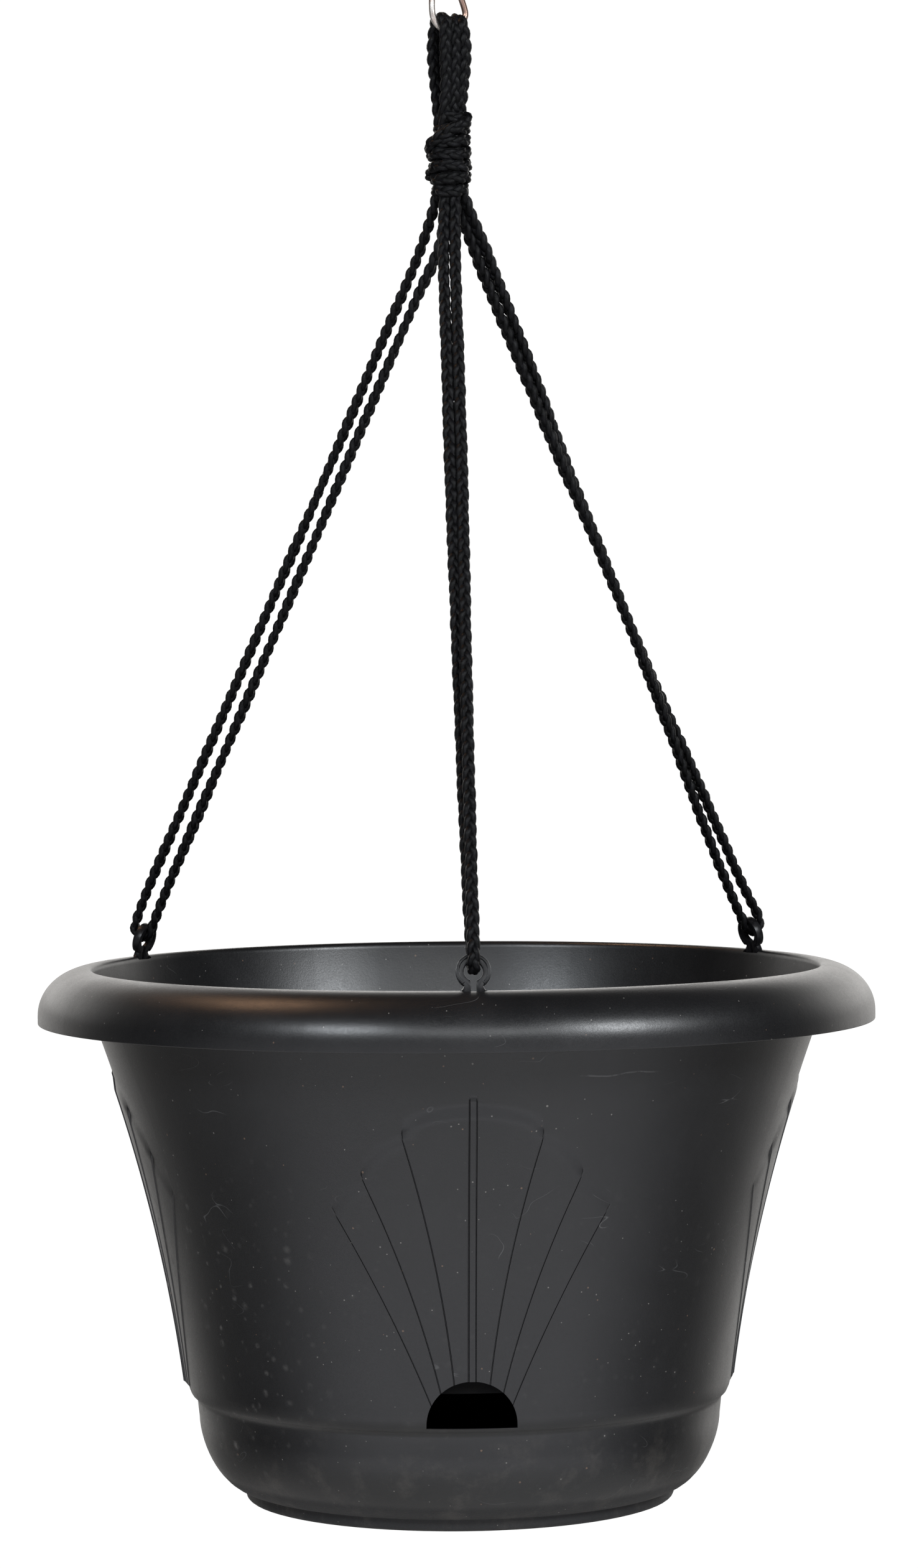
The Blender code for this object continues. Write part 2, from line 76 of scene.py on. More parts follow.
class NodeMaker:
    """Short names for building a node tree."""

    def __init__(self, tree):
        self.tree = tree
        self.coords = self.node("TexCoord")

    def fill(self, node, inputs):
        """Links or sets a node's inputs, by name or index; a colour comes without its alpha."""
        for key, value in inputs.items():
            socket = node.inputs[key]
            if isinstance(value, bpy.types.NodeSocket):
                self.tree.links.new(value, socket)
            else:
                socket.default_value = (*value, 1.0) if socket.type == "RGBA" else value

    def node(self, kind, inputs=None):
        node = self.tree.nodes.new("ShaderNode" + kind)
        self.fill(node, inputs or {})
        return node

    def axis(self, name, source="Object"):
        return self.node("SeparateXYZ", {0: self.coords.outputs[source]}).outputs[name]

    def ranged(self, value, low, high, to_low=0.0, to_high=1.0, smooth=True):
        node = self.node("MapRange", {
            "Value": value, "From Min": low, "From Max": high, "To Min": to_low, "To Max": to_high,
        })
        node.interpolation_type = "SMOOTHSTEP" if smooth else "LINEAR"
        return node.outputs["Result"]

    def math(self, operation, a, b):
        node = self.node("Math", {0: a, 1: b})
        node.operation = operation
        return node.outputs[0]

    def times(self, a, b):
        return self.math("MULTIPLY", a, b)

    def plus(self, a, b):
        return self.math("ADD", a, b)

    def apart(self, a, b):
        """How far apart two values are."""
        return self.math("ABSOLUTE", self.math("SUBTRACT", a, b), 0.0)

    def mix(self, factor, a, b):
        node = self.node("Mix")
        node.data_type = "RGBA"
        self.fill(node, {0: factor, 6: a, 7: b})
        return node.outputs[2]


class Shader(NodeMaker):
    """One Principled material and the textures that it is made of."""

    def __init__(self, name, settings):
        self.mat = bpy.data.materials.new(name)
        self.mat.use_nodes = True
        super().__init__(self.mat.node_tree)
        self.bsdf = self.tree.nodes["Principled BSDF"]
        self.fill(self.bsdf, settings)

    def scaled(self, scale, source="Object"):
        inputs = {"Vector": self.coords.outputs[source], "Scale": scale}
        return self.node("Mapping", inputs).outputs["Vector"]

    def noise(self, scale, detail=3.0, rough=0.5, vector=None, distortion=0.0):
        return self.node("TexNoise", {
            "Vector": vector or self.coords.outputs["Object"], "Scale": scale, "Detail": detail,
            "Roughness": rough, "Distortion": distortion,
        }).outputs["Fac"]

    def spots(self, scale, small, large, rarity, soft=False):
        """1 inside round spots of mixed sizes; rarity is the share of cells that hold none."""
        cells = self.node("TexVoronoi", {"Vector": self.coords.outputs["Object"], "Scale": scale})
        pick = self.node("SeparateColor", {0: cells.outputs["Color"]})
        distance = cells.outputs["Distance"]
        size = self.ranged(pick.outputs["Green"], 0.0, 1.0, small, large, smooth=False)
        chosen = self.math("GREATER_THAN", pick.outputs["Red"], rarity)
        if soft:
            inside = self.ranged(self.math("DIVIDE", distance, size), 0.1, 1.0, 1.0, 0.0)
        else:
            inside = self.math("LESS_THAN", distance, size)
        return self.times(inside, chosen)

    def bump(self, height, strength, distance, under=None):
        node = self.node("Bump", {"Height": height, "Strength": strength, "Distance": distance})
        if under is not None:
            self.fill(node, {"Normal": under})
        return node.outputs["Normal"]

    def finish(self, colour, roughness, normal):
        self.fill(self.bsdf, {"Base Color": colour, "Roughness": roughness, "Normal": normal})
        return self.mat


# ---------- camera and light

CAMERA_DISTANCE = 1.76            # from the basket's axis
CAMERA_OVER_CREST = 0.118
CAMERA_AZIMUTH = math.radians(-2.5)
CAMERA_PITCH = math.radians(-1.73)
CAMERA_PAN = math.radians(-0.05)
CAMERA_ROLL = math.radians(-0.45)
CAMERA_LENS = 112.4
FLOOR_DROP = 1.2                  # floor below the basket's base
FLOOR_EXTENT = 1.7
FLOOR_GLOW = 0.10
FLOOR_GLOW_SEEN = 0.72            # what the camera sees, so that the floor is nearly white
SWEEP_GLOW = 0.96                 # the pale sweep below and behind the camera
SIDE_SWEEP_GLOW = 0.24            # the rest of the sweep, all round below the basket
HORIZON_GLOW = 0.55               # behind the camera at its own height
BACKDROP_GLOW = 1.0               # the wall behind the basket
UPPER_GLOW = 1.15                 # added to it over eye level, which lights the rim's crest
RIGHT_GLOW = 0.9                  # that wall's return on the right
ROOM_GLOW = 0.015                 # the dark rest of the room
COOL_LIGHT = (0.945, 0.950, 1.0)  # from behind the camera
WARM_LIGHT = (1.0, 0.98, 0.95)    # from behind the basket


def add_object(name, data):
    obj = bpy.data.objects.new(name, data)
    bpy.context.collection.objects.link(obj)
    return obj


def make_camera():
    data = bpy.data.cameras.new("camera")
    data.lens = CAMERA_LENS
    data.sensor_width = 36.0
    camera = add_object("camera", data)
    place = Vector((
        CAMERA_DISTANCE * math.sin(CAMERA_AZIMUTH),
        -CAMERA_DISTANCE * math.cos(CAMERA_AZIMUTH),
        Z_CREST + CAMERA_OVER_CREST,
    ))
    turn = Matrix.Rotation(CAMERA_AZIMUTH + CAMERA_PAN, 4, "Z")
    tilt = Matrix.Rotation(math.radians(90.0) + CAMERA_PITCH, 4, "X")
    roll = Matrix.Rotation(CAMERA_ROLL, 4, "Z")
    camera.matrix_world = Matrix.Translation(place) @ turn @ tilt @ roll
    bpy.context.scene.camera = camera


def area_light(name, place, target, size, power, colour=(1.0, 1.0, 1.0)):
    data = bpy.data.lights.new(name, "AREA")
    data.shape = "RECTANGLE"
    data.size, data.size_y = size
    data.energy = power
    data.color = colour
    light = add_object(name, data)
    light.location = place
    light.rotation_euler = (Vector(target) - Vector(place)).to_track_quat("-Z", "Y").to_euler()


def make_world():
    """White to the camera; otherwise a pale sweep below and behind, and a dark room overhead.

    The ramps run over the parts of a unit direction: Y is -1 behind the camera and Z is -1 straight down.
    """
    world = bpy.data.worlds.new("studio")
    bpy.context.scene.world = world
    world.use_nodes = True
    world.node_tree.nodes.clear()
    s = NodeMaker(world.node_tree)

    def ramp(axis, low, high, strength):
        return s.ranged(s.axis(axis, "Generated"), low, high, 0.0, strength)

    sweep = s.times(ramp("Y", 0.1, -0.75, SWEEP_GLOW), ramp("Z", -0.12, -0.5, 1.0))
    horizon = s.times(ramp("Z", 0.40, -0.10, 1.0), ramp("Z", -0.66, -0.40, 1.0))
    horizon = s.times(ramp("Y", 0.0, -0.8, HORIZON_GLOW), horizon)
    below = s.plus(ramp("Z", -0.1, -0.6, SIDE_SWEEP_GLOW), s.plus(sweep, horizon))
    wall_height = s.times(ramp("Z", 0.6, 0.3, 1.0), ramp("Z", -0.44, -0.03, 1.0))
    right = s.times(ramp("X", 0.15, 0.85, RIGHT_GLOW), ramp("Y", 0.3, 0.8, 1.0))
    upper = s.times(ramp("Y", 0.35, 0.95, UPPER_GLOW), ramp("Z", 0.02, 0.16, 1.0))
    backdrop = s.plus(ramp("Y", 0.35, 0.95, BACKDROP_GLOW), s.plus(right, upper))
    behind = s.times(backdrop, wall_height)
    glow = s.plus(s.plus(below, behind), ramp("X", -1.5, 1.0, ROOM_GLOW))
    tint = s.mix(ramp("Y", -0.4, 0.4, 1.0), COOL_LIGHT, WARM_LIGHT)
    lit = s.node("Background", {"Color": tint, "Strength": glow})
    seen = s.node("Background", {"Color": (1.0, 1.0, 1.0), "Strength": 1.05})
    to_camera = s.node("LightPath").outputs["Is Camera Ray"]
    both = s.node("MixShader", {0: to_camera, 1: lit.outputs[0], 2: seen.outputs[0]})
    s.node("OutputWorld", {"Surface": both.outputs[0]})


def make_floor():
    bpy.ops.mesh.primitive_circle_add(
        vertices=96, radius=FLOOR_EXTENT, fill_type="NGON",
        location=(0, 0, shell_low.z - FLOOR_DROP),
    )
    floor = bpy.context.object
    floor.name = "floor"
    s = Shader("pale_floor", {
        "Base Color": (0.85, 0.85, 0.84), "Roughness": 0.9, "Specular IOR Level": 0.1,
        "Emission Color": (1.0, 0.99, 0.97),
    })
    to_camera = s.node("LightPath").outputs["Is Camera Ray"]
    glow = s.ranged(to_camera, 0.0, 1.0, FLOOR_GLOW, FLOOR_GLOW_SEEN, smooth=False)
    s.fill(s.bsdf, {"Emission Strength": glow})
    floor.data.materials.append(s.mat)


def make_studio():
    """The room, soft lights from the right, left and front, and a weak warm one behind at the left."""
    view = bpy.context.scene.view_settings
    view.view_transform = "Standard"
    view.look = "None"
    make_world()
    make_floor()
    middle = (0.0, 0.0, Z_CREST - 0.05)
    area_light("key", (1.50, -1.62, Z_CREST + 1.10), middle, (0.70, 0.60), 46.0, (0.93, 0.965, 1.0))
    area_light("fill", (-1.20, -1.75, Z_CREST + 1.15), middle, (0.6, 0.5), 28.0, (0.90, 0.95, 1.0))
    area_light("front", (0.15, -2.4, Z_CREST + 1.10), middle, (1.4, 0.5), 16.0, (0.95, 0.975, 1.0))
    area_light("warm", (-0.95, 0.60, Z_CREST + 1.95), middle, (0.9, 0.26), 8.5, (1.0, 0.60, 0.36))


# ---------- mesh helpers

def between(a, b, start, end, t):
    """The point at t on the line that is at a for start and at b for end."""
    return a * ((end - t) / (end - start)) + b * ((t - start) / (end - start))


def smooth_route(points, spacing):
    """Points along a centripetal Catmull-Rom curve through points, at an even spacing."""
    points = [Vector(p) for p in points]
    ends = [points[0] * 2 - points[1], *points, points[-1] * 2 - points[-2]]
    route = [points[0]]
    for p0, p1, p2, p3 in zip(ends, ends[1:], ends[2:], ends[3:]):
        knots = [0.0]
        for a, b in ((p0, p1), (p1, p2), (p2, p3)):
            knots.append(knots[-1] + math.sqrt((b - a).length))
        t0, t1, t2, t3 = knots
        steps = max(4, round((p2 - p1).length / (spacing / 3)))
        for i in range(1, steps + 1):
            t = t1 + (t2 - t1) * i / steps
            a1 = between(p0, p1, t0, t1, t)
            a2 = between(p1, p2, t1, t2, t)
            a3 = between(p2, p3, t2, t3, t)
            b1 = between(a1, a2, t0, t2, t)
            b2 = between(a2, a3, t1, t3, t)
            route.append(between(b1, b2, t1, t2, t))
    dense = np.array([tuple(p) for p in route])
    along = distance_along(dense)
    count = max(2, round(along[-1] / spacing))
    even = np.linspace(0.0, along[-1], count + 1)
    return np.stack([np.interp(even, along, dense[:, k]) for k in range(3)], axis=1)


def in_mm(*points):
    """Flat points given in millimetres, as metres."""
    return [(a * MM, b * MM) for a, b in points]


def unit(v):
    return v / np.maximum(np.linalg.norm(v, axis=-1, keepdims=True), 1e-12)


def mesh_object(name, verts, faces, material, uvs=None):
    mesh = bpy.data.meshes.new(name)
    mesh.from_pydata([tuple(v) for v in verts], [], faces)
    if uvs is not None:
        layer = mesh.uv_layers.new(name="UVMap")
        layer.data.foreach_set("uv", np.asarray(uvs, np.float32).ravel())
    mesh.materials.append(material)
    mesh.update()
    mesh.shade_smooth()
    return add_object(name, mesh)


def shade(mesh, sharp_deg):
    """Smooth shading, with edges sharper than sharp_deg left crisp."""
    mesh.shade_smooth()
    mesh.set_sharp_from_angle(angle=math.radians(sharp_deg))


def from_bmesh(name, bm, material):
    bmesh.ops.recalc_face_normals(bm, faces=bm.faces)
    mesh = bpy.data.meshes.new(name)
    bm.to_mesh(mesh)
    bm.free()
    if material:
        mesh.materials.append(material)
    shade(mesh, 40.0)
    return add_object(name, mesh)


def section_axes(path, across):
    """Unit vectors square to path at each point: one nearest to across, and one square to that."""
    across = np.array(across)
    tangent = unit(np.gradient(path, axis=0))
    wide = unit(across - (across * tangent).sum(1, keepdims=True) * tangent)
    return wide, np.cross(tangent, wide)


def distance_along(path):
    steps = np.linalg.norm(np.diff(path, axis=0), axis=1)
    return np.concatenate([[0.0], np.cumsum(steps)])


def swept_rings(path, across, half_width, half_depth, sides):
    """Rings of an oval section along path, as an array (rings, sides, 3)."""
    wide, deep = section_axes(path, across)
    angle = np.linspace(0.0, 2 * math.pi, sides, endpoint=False)
    sideways = np.cos(angle)[None, :, None] * np.asarray(half_width)[..., None, None]
    deepways = np.sin(angle)[None, :, None] * np.asarray(half_depth)[..., None, None]
    return path[:, None, :] + (wide[:, None, :] * sideways + deep[:, None, :] * deepways)


def ring_quads(rings, sides, base=0):
    """Faces between neighbouring rings of vertices, each ring with the same number of sides."""
    for i in range(rings - 1):
        a, b = base + i * sides, base + (i + 1) * sides
        for j in range(sides):
            k = (j + 1) % sides
            yield a + j, a + k, b + k, b + j


class TubeMesh:
    """Gathers swept tubes into one mesh with UVs: u runs round a tube and v along it in metres."""

    def __init__(self):
        self.verts = []
        self.faces = []
        self.uvs = []

    def add(self, rings, path):
        base = len(self.verts)
        count, sides = rings.shape[:2]
        self.verts.extend(rings.reshape(-1, 3))
        run = distance_along(path)
        self.faces.extend(ring_quads(count, sides, base))
        for v0, v1 in zip(run, run[1:]):
            for j in range(sides):
                u0, u1 = j / sides, (j + 1) / sides
                self.uvs.extend([(u0, v0), (u1, v0), (u1, v1), (u0, v1)])
        for end, v, order in ((0, run[0], -1), (count - 1, run[-1], 1)):
            ring = [base + end * sides + j for j in range(sides)][::order]
            centre = len(self.verts)
            self.verts.append(rings[end].mean(axis=0))
            for j in range(sides):
                self.faces.append((ring[j], ring[(j + 1) % sides], centre))
                self.uvs.extend([(j / sides, v), ((j + 1) / sides, v), ((j + 0.5) / sides, v)])

    def build(self, name, material):
        return mesh_object(name, self.verts, self.faces, material, self.uvs)


# ---------- materials

H_STAIN = -180.0 * MM             # heights over the crest: the stain is full here and below
H_STAIN_TOP = -140.0 * MM
H_SPLASH_TOP = -50.0 * MM
H_SPLASH = -100.0 * MM            # full here and below
H_FOOT_DULL = -183.0 * MM
H_FOOT_DULL_TOP = -180.0 * MM
SCRAPE_MIDDLE = 50.0 * MM         # along X
SCRAPE_HALF = 15.0 * MM
SCRAPE_HEIGHT = Z_CREST - 30.0 * MM


def planter_plastic():
    """Satin charcoal polypropylene: moulded grain, dust, hair scratches and a film of dirt low down."""
    s = Shader("planter_plastic", {"IOR": 1.49})
    smudge = s.noise(14.0, 5.0, 0.6, distortion=0.6)
    cloud = s.noise(55.0, 4.0, 0.6)
    grain = s.noise(1500.0, 2.0, 0.6)
    tone = s.plus(s.ranged(smudge, 0.3, 0.7, 0.0, 0.6), s.ranged(cloud, 0.35, 0.7, 0.0, 0.4))
    colour = s.mix(tone, (0.0060, 0.0060, 0.0065), (0.0095, 0.0094, 0.0100))
    colour = s.mix(s.times(low_stain(s), 0.46), colour, (0.050, 0.045, 0.040))
    splash = splashes(s)
    colour = s.mix(s.times(splash, 0.60), colour, (0.115, 0.110, 0.104))
    specks = s.math("MAXIMUM", s.spots(150.0, 0.022, 0.060, 0.74), s.spots(420.0, 0.05, 0.12, 0.82))
    colour = s.mix(s.times(specks, 0.55), colour, (0.20, 0.19, 0.175))
    brown_flecks = s.spots(300.0, 0.05, 0.12, 0.91)
    colour = s.mix(s.times(brown_flecks, 0.6), colour, (0.14, 0.09, 0.06))
    scratch = s.math("MAXIMUM", hair_scratches(s), long_scratch(s))
    colour = s.mix(s.times(scratch, 0.32), colour, (0.15, 0.15, 0.15))

    roughness = s.ranged(smudge, 0.3, 0.75, 0.32, 0.40)
    roughness = s.plus(roughness, s.ranged(grain, 0.3, 0.7, -0.02, 0.04))
    roughness = s.plus(roughness, s.times(splash, 0.2))
    foot = s.ranged(s.axis("Z"), Z_CREST + H_FOOT_DULL, Z_CREST + H_FOOT_DULL_TOP, 0.34, 0.0)
    roughness = s.plus(roughness, foot)
    normal = s.bump(grain, 0.35, 0.00006)
    normal = s.bump(s.noise(260.0, 3.0, 0.5), 0.20, 0.00012, under=normal)
    normal = s.bump(scratch, 0.25, 0.00005, under=normal)
    return s.finish(colour, roughness, normal)


def low_stain(s):
    """The patchy film of dirt over the reservoir bowl."""
    low_down = s.ranged(s.axis("Z"), Z_CREST + H_STAIN, Z_CREST + H_STAIN_TOP, 1.0, 0.0)
    return s.times(low_down, s.ranged(s.noise(70.0, 6.0, 0.7), 0.48, 0.72))


def splashes(s):
    """Soft pale spots of dried water and soil, mostly at the left and below the rim."""
    left = s.ranged(s.axis("X"), -45.0 * MM, -85.0 * MM, 0.12, 1.0)
    below_rim = s.ranged(s.axis("Z"), Z_CREST + H_SPLASH_TOP, Z_CREST + H_SPLASH)
    large_blob = s.spots(150.0, 0.14, 0.42, 0.50, soft=True)
    small_blob = s.spots(260.0, 0.2, 0.5, 0.55, soft=True)
    blob = s.math("MAXIMUM", large_blob, small_blob)
    blob = s.times(blob, s.ranged(s.noise(34.0, 3.0, 0.6), 0.36, 0.56))
    blob = s.times(blob, s.ranged(s.noise(420.0, 3.0, 0.6), 0.34, 0.62, 0.1, 1.0))
    return s.times(blob, s.times(left, below_rim))


def hair_scratches(s):
    """Short fine curls: the thin level lines of a noise, kept only in a few places."""
    veins = s.noise(38.0, 1.0, 0.4, vector=s.scaled((1.0, 1.0, 2.2)), distortion=0.5)
    line = s.ranged(s.apart(veins, 0.5), 0.0, 0.0030, 1.0, 0.0)
    broken = s.ranged(s.noise(40.0, 2.0, 0.5, vector=s.scaled((1.0, 1.3, 0.8))), 0.60, 0.66)
    return s.times(line, broken)


def long_scratch(s):
    """The pale scrape under the rim at the front right."""
    x = s.axis("X")
    wander = s.ranged(s.noise(60.0, 2.0, 0.5), 0.3, 0.7, -0.0009, 0.0009, smooth=False)
    arch = s.times(s.math("POWER", s.math("SUBTRACT", x, SCRAPE_MIDDLE), 2.0), 2.2)
    line = s.math("SUBTRACT", SCRAPE_HEIGHT, s.plus(arch, wander))
    mark = s.ranged(s.apart(s.axis("Z"), line), 0.00012, 0.00034, 1.0, 0.0)
    along = s.apart(x, SCRAPE_MIDDLE)
    mark = s.times(mark, s.ranged(along, 0.6 * SCRAPE_HALF, SCRAPE_HALF, 1.0, 0.0))
    mark = s.times(mark, s.ranged(s.noise(330.0, 2.0, 0.6), 0.38, 0.52, 0.25, 1.0))
    return s.times(mark, s.math("LESS_THAN", s.axis("Y"), 0.0))


def floor_plastic():
    """The reservoir floor: the same plastic, darker and much duller; the dark colour is partly a blacker
    plastic and partly painted shade of the recess behind the window.
    """
    s = Shader("floor_plastic", {"Specular IOR Level": 0.05})
    dust = s.ranged(s.noise(80.0, 5.0, 0.65), 0.4, 0.75)
    grain = s.noise(1200.0, 2.0, 0.6)
    # very dark colour: partly a blacker plastic, partly painted shade of the recess seen through the
    # window
    colour = s.mix(dust, (0.0020, 0.0020, 0.0022), (0.0045, 0.0043, 0.0042))
    roughness = s.ranged(dust, 0.0, 1.0, 0.46, 0.62)
    return s.finish(colour, roughness, s.bump(grain, 0.35, 0.00006))


def clip_plastic():
    """Black acetal, duller than new, with faint tool marks."""
    s = Shader("clip_plastic", {"Specular IOR Level": 0.25})
    marks = s.noise(900.0, 3.0, 0.6, vector=s.scaled((1.0, 1.0, 0.25)))
    colour = s.mix(s.ranged(marks, 0.35, 0.7), (0.0045, 0.0045, 0.0050), (0.0095, 0.0095, 0.0105))
    roughness = s.ranged(marks, 0.3, 0.8, 0.28, 0.42)
    return s.finish(colour, roughness, s.bump(marks, 0.2, 0.00004))


def cord_fibre():
    """Bundles of black filament; the UV runs round (u) and along (v, metres) each plaited bundle. The
    lighter bluish flecks in the colour are painted glints.
    """
    looks = {"Sheen Weight": 0.02, "Sheen Roughness": 0.35, "Specular IOR Level": 0.12}
    s = Shader("cord_fibre", looks)
    filament = s.noise(1.0, 3.0, 0.6, vector=s.scaled((26.0, 420.0, 1.0), "UV"))
    patch = s.noise(520.0, 2.0, 0.5)
    painted_glint = s.times(s.ranged(filament, 0.42, 0.72), s.ranged(patch, 0.35, 0.65))
    # painted glints: lighter, bluish colour on the filaments in place of their highlights
    colour = s.mix(painted_glint, (0.0008, 0.0008, 0.0009), (0.0100, 0.0098, 0.0124))
    roughness = s.ranged(filament, 0.3, 0.7, 0.56, 0.36)
    return s.finish(colour, roughness, s.bump(filament, 0.7, 0.00022))


def hook_steel():
    """Bright drawn wire with fine draw lines, a trace of tarnish, and painted brown shade and reflection
    towards +X.
    """
    s = Shader("hook_steel", {"Metallic": 0.9})
    tarnish_and_painted_shade = s.ranged(s.noise(260.0, 4.0, 0.6), 0.45, 0.75, 0.0, 0.7)
    # painted brown shade and reflection: the wire turns brown towards +X, on top of the random tarnish
    tarnish_and_painted_shade = s.math("MAXIMUM", tarnish_and_painted_shade, s.ranged(s.axis("X"), 0.002, 0.005, 0.0, 0.9))
    draw = s.noise(1.0, 2.0, 0.5, vector=s.scaled((40.0, 60.0, 1.0), "UV"))
    colour = s.mix(tarnish_and_painted_shade, (0.62, 0.59, 0.55), (0.26, 0.15, 0.11))
    roughness = s.ranged(draw, 0.3, 0.7, 0.24, 0.40)
    return s.finish(colour, roughness, s.bump(draw, 0.25, 0.00003))


# ---------- cords

PLAIT_PERIOD = 13.8 * MM          # three bundles, so a bump every third of this along each edge
PLAIT_SWAY = 1.14 * MM
PLAIT_RISE = 0.60 * MM
BUNDLE_HALF_WIDTH = 1.20 * MM
BUNDLE_HALF_DEPTH = 1.16 * MM
PLAIT_STEP = 0.8 * MM
BUNDLE_SIDES = 8

# The CAD's own route points: (distance out from the axis, distance along the rim, height), mm
EYE_TURN = (
    (127.4, 0.0, 10.6), (128.3, 0.0, 8.25), (130.0, 0.0, 6.8), (132.2, 0.0, 6.75),
    (134.05, 0.0, 7.95), (134.75, 0.0, 10.1), (134.3, 0.0, 12.6),
)
LEG_ROUTES = {
    "front": (
        (2.9, -2.0, 277.2), (11.8, -3.0, 253.0), (32.0, -2.9, 213.0), (52.0, -2.8, 172.0),
        (84.0, -2.0, 105.0), (109.6, -1.2, 50.0), (122.9, -0.5, 21.0),
        *EYE_TURN,
        (130.0, 0.0, 21.0), (114.9, 0.1, 50.0), (86.8, 0.4, 105.0),
        (52.5, 1.1, 172.0), (32.5, 1.1, 213.0), (12.4, 1.1, 253.0), (2.9, 1.6, 277.2),
    ),
    "left": (
        (2.8, -1.4, 277.2), (4.9, -1.5, 259.0), (14.4, -0.8, 239.5), (24.1, -0.3, 219.7),
        (63.7, 0.0, 139.4), (104.8, 0.0, 57.2), (122.2, 0.0, 22.2),
        *EYE_TURN,
        (130.3, 0.0, 22.2), (112.7, 0.0, 57.2), (91.6, 0.0, 98.6), (50.3, 0.0, 180.0),
        (30.4, 0.2, 220.0), (10.9, 1.2, 258.5), (4.1, 1.7, 277.2),
    ),
    "right": (
        (2.8, 1.4, 277.2), (12.3, 0.8, 253.0), (31.0, -0.2, 213.0), (43.9, -0.95, 186.0),
        (64.6, -1.45, 145.0), (83.6, -1.2, 105.0), (96.1, -0.5, 78.0), (107.9, 0.0, 51.0),
        (121.9, 0.0, 21.0),
        *EYE_TURN,
        (129.1, 0.0, 21.0), (113.4, 0.0, 51.0), (99.8, 0.6, 78.0), (86.2, 1.2, 105.0),
        (66.8, 1.45, 145.0), (47.1, 0.95, 186.0), (35.2, 0.2, 213.0), (16.1, -0.8, 253.0),
        (4.1, -1.7, 277.2),
    ),
}
# The CAD's loop route: (distance in front of the wire, height over it, spread share), mm
LOOP_ROUTE = (
    (-2.0, -27.9, 0.97), (-3.2, -21.5, 1.02), (-3.8, -13.5, 1.15), (-3.9, -6.0, 1.25),
    (-3.65, -0.4, 1.08), (-2.4, 2.6, 1.0), (0.0, 3.7, 1.0), (2.4, 2.6, 1.0), (3.65, -0.4, 1.08),
    (3.9, -6.0, 1.25), (3.8, -13.5, 1.15), (3.2, -21.5, 1.02), (2.0, -27.9, 0.97),
)
LOOP_OFFSETS = {"left": -3.4 * MM, "middle": 0.0, "right": 3.4 * MM}
LOOP_SIDE_LIFT = 1.2 * MM         # the outer loops ride up the bend's sides, above H_LOOP_LIFT
H_LOOP_LIFT = -6.0
TUCK_INTO_KNOT = 9.0              # how far each cord runs on inside the knot, mm
# High up, the right leg's cord is slacker and fuller and the front leg's is drawn thinner:
# (change of fullness, height over the crest where it starts, height that it takes to grow)
LEG_FULLNESS = {
    "front": (-0.05, 205.0 * MM, 30.0 * MM),
    "left": (0.0, 0.0, 1.0 * MM),
    "right": (0.16, 90.0 * MM, 80.0 * MM),
}
LOOP_FULLNESS = 1.1


def plait(tube, path, across, seed, fullness=1.0):
    """Adds three bundles plaited about path; across is the direction of the cord's flat side."""
    rng = np.random.default_rng(seed)
    wide, deep = section_axes(path, across)
    run = distance_along(path)
    drift = sum(
        rng.uniform(0.3, 1.0) * np.sin(run / rng.uniform(9 * MM, 40 * MM) + rng.uniform(0, 6.28))
        for _ in range(4)
    )
    roll = 0.11 * drift
    side = wide * np.cos(roll)[:, None] + deep * np.sin(roll)[:, None]
    face = deep * np.cos(roll)[:, None] - wide * np.sin(roll)[:, None]
    start = rng.uniform(0, 6.28)
    phase_drift = 0.10 * np.sin(run / (23 * MM) + rng.uniform(0, 6.28))
    for bundle in range(3):
        phase = start + 2 * math.pi * (run / PLAIT_PERIOD + bundle / 3) + phase_drift
        plump = fullness + 0.06 * np.sin(run / (7 * MM) + rng.uniform(0, 6.28))
        centre = path + side * (PLAIT_SWAY * plump * np.sin(phase))[:, None]
        centre = centre + face * (PLAIT_RISE * np.sin(2 * phase))[:, None]
        swell = 1.0 + 0.07 * np.cos(2 * phase)
        rings = swept_rings(
            centre, side, BUNDLE_HALF_WIDTH * plump * swell, BUNDLE_HALF_DEPTH * plump, BUNDLE_SIDES,
        )
        tube.add(rings, centre)


def tucked(points, end_point):
    """The route with one more point inside the knot at both ends; end_point makes it from an end."""
    return [end_point(*points[0]), *points, end_point(*points[-1])]


def build_leg_cords(material):
    """One doubled cord for each leg, from the knot through its eye and back into the knot."""
    for seed, (side, azimuth_deg) in enumerate(LEGS.items()):
        azimuth = math.radians(azimuth_deg)
        out = Vector((math.sin(azimuth), -math.cos(azimuth), 0.0))
        along = Vector((math.cos(azimuth), math.sin(azimuth), 0.0))
        points = tucked(LEG_ROUTES[side], lambda r, t, h: (0.7 * r, 0.8 * t, h + TUCK_INTO_KNOT))
        route = [(out * r + along * t + UP * h) * MM + UP * Z_CREST for r, t, h in points]
        path = smooth_route(route, PLAIT_STEP)
        change, start, growth = LEG_FULLNESS[side]
        fullness = 1.0 + change * smoothstep((path[:, 2] - Z_CREST - start) / growth)
        tube = TubeMesh()
        plait(tube, path, along, seed + 11, fullness)
        cord = tube.build(f"leg_cord_{side}_plait", material)
        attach(cord, "planter")
        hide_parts(f"leg_cord_{side}")


def build_loop_cords(material):
    """Three cords over the hook, baked in place."""
    origin = Vector((0.0, 0.0, Z_BEND))
    for seed, (side, offset) in enumerate(LOOP_OFFSETS.items()):
        lift = LOOP_SIDE_LIFT if offset else 0.0
        points = tucked(LOOP_ROUTE, lambda x, h, spread: (0.7 * x, h - TUCK_INTO_KNOT, 0.8 * spread))
        route = [
            origin + HOOK_FORWARD * (x * MM) + HOOK_ALONG * (offset * spread)
            + UP * (h * MM + (lift if h > H_LOOP_LIFT else 0.0))
            for x, h, spread in points
        ]
        path = smooth_route(route, PLAIT_STEP)
        tube = TubeMesh()
        plait(tube, path, HOOK_ALONG, seed + 31, LOOP_FULLNESS)
        cord = tube.build(f"loop_cord_{side}_plait", material)
        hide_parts(f"loop_cord_{side}")
        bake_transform(cord)


KNOT_TURNS = 6.6
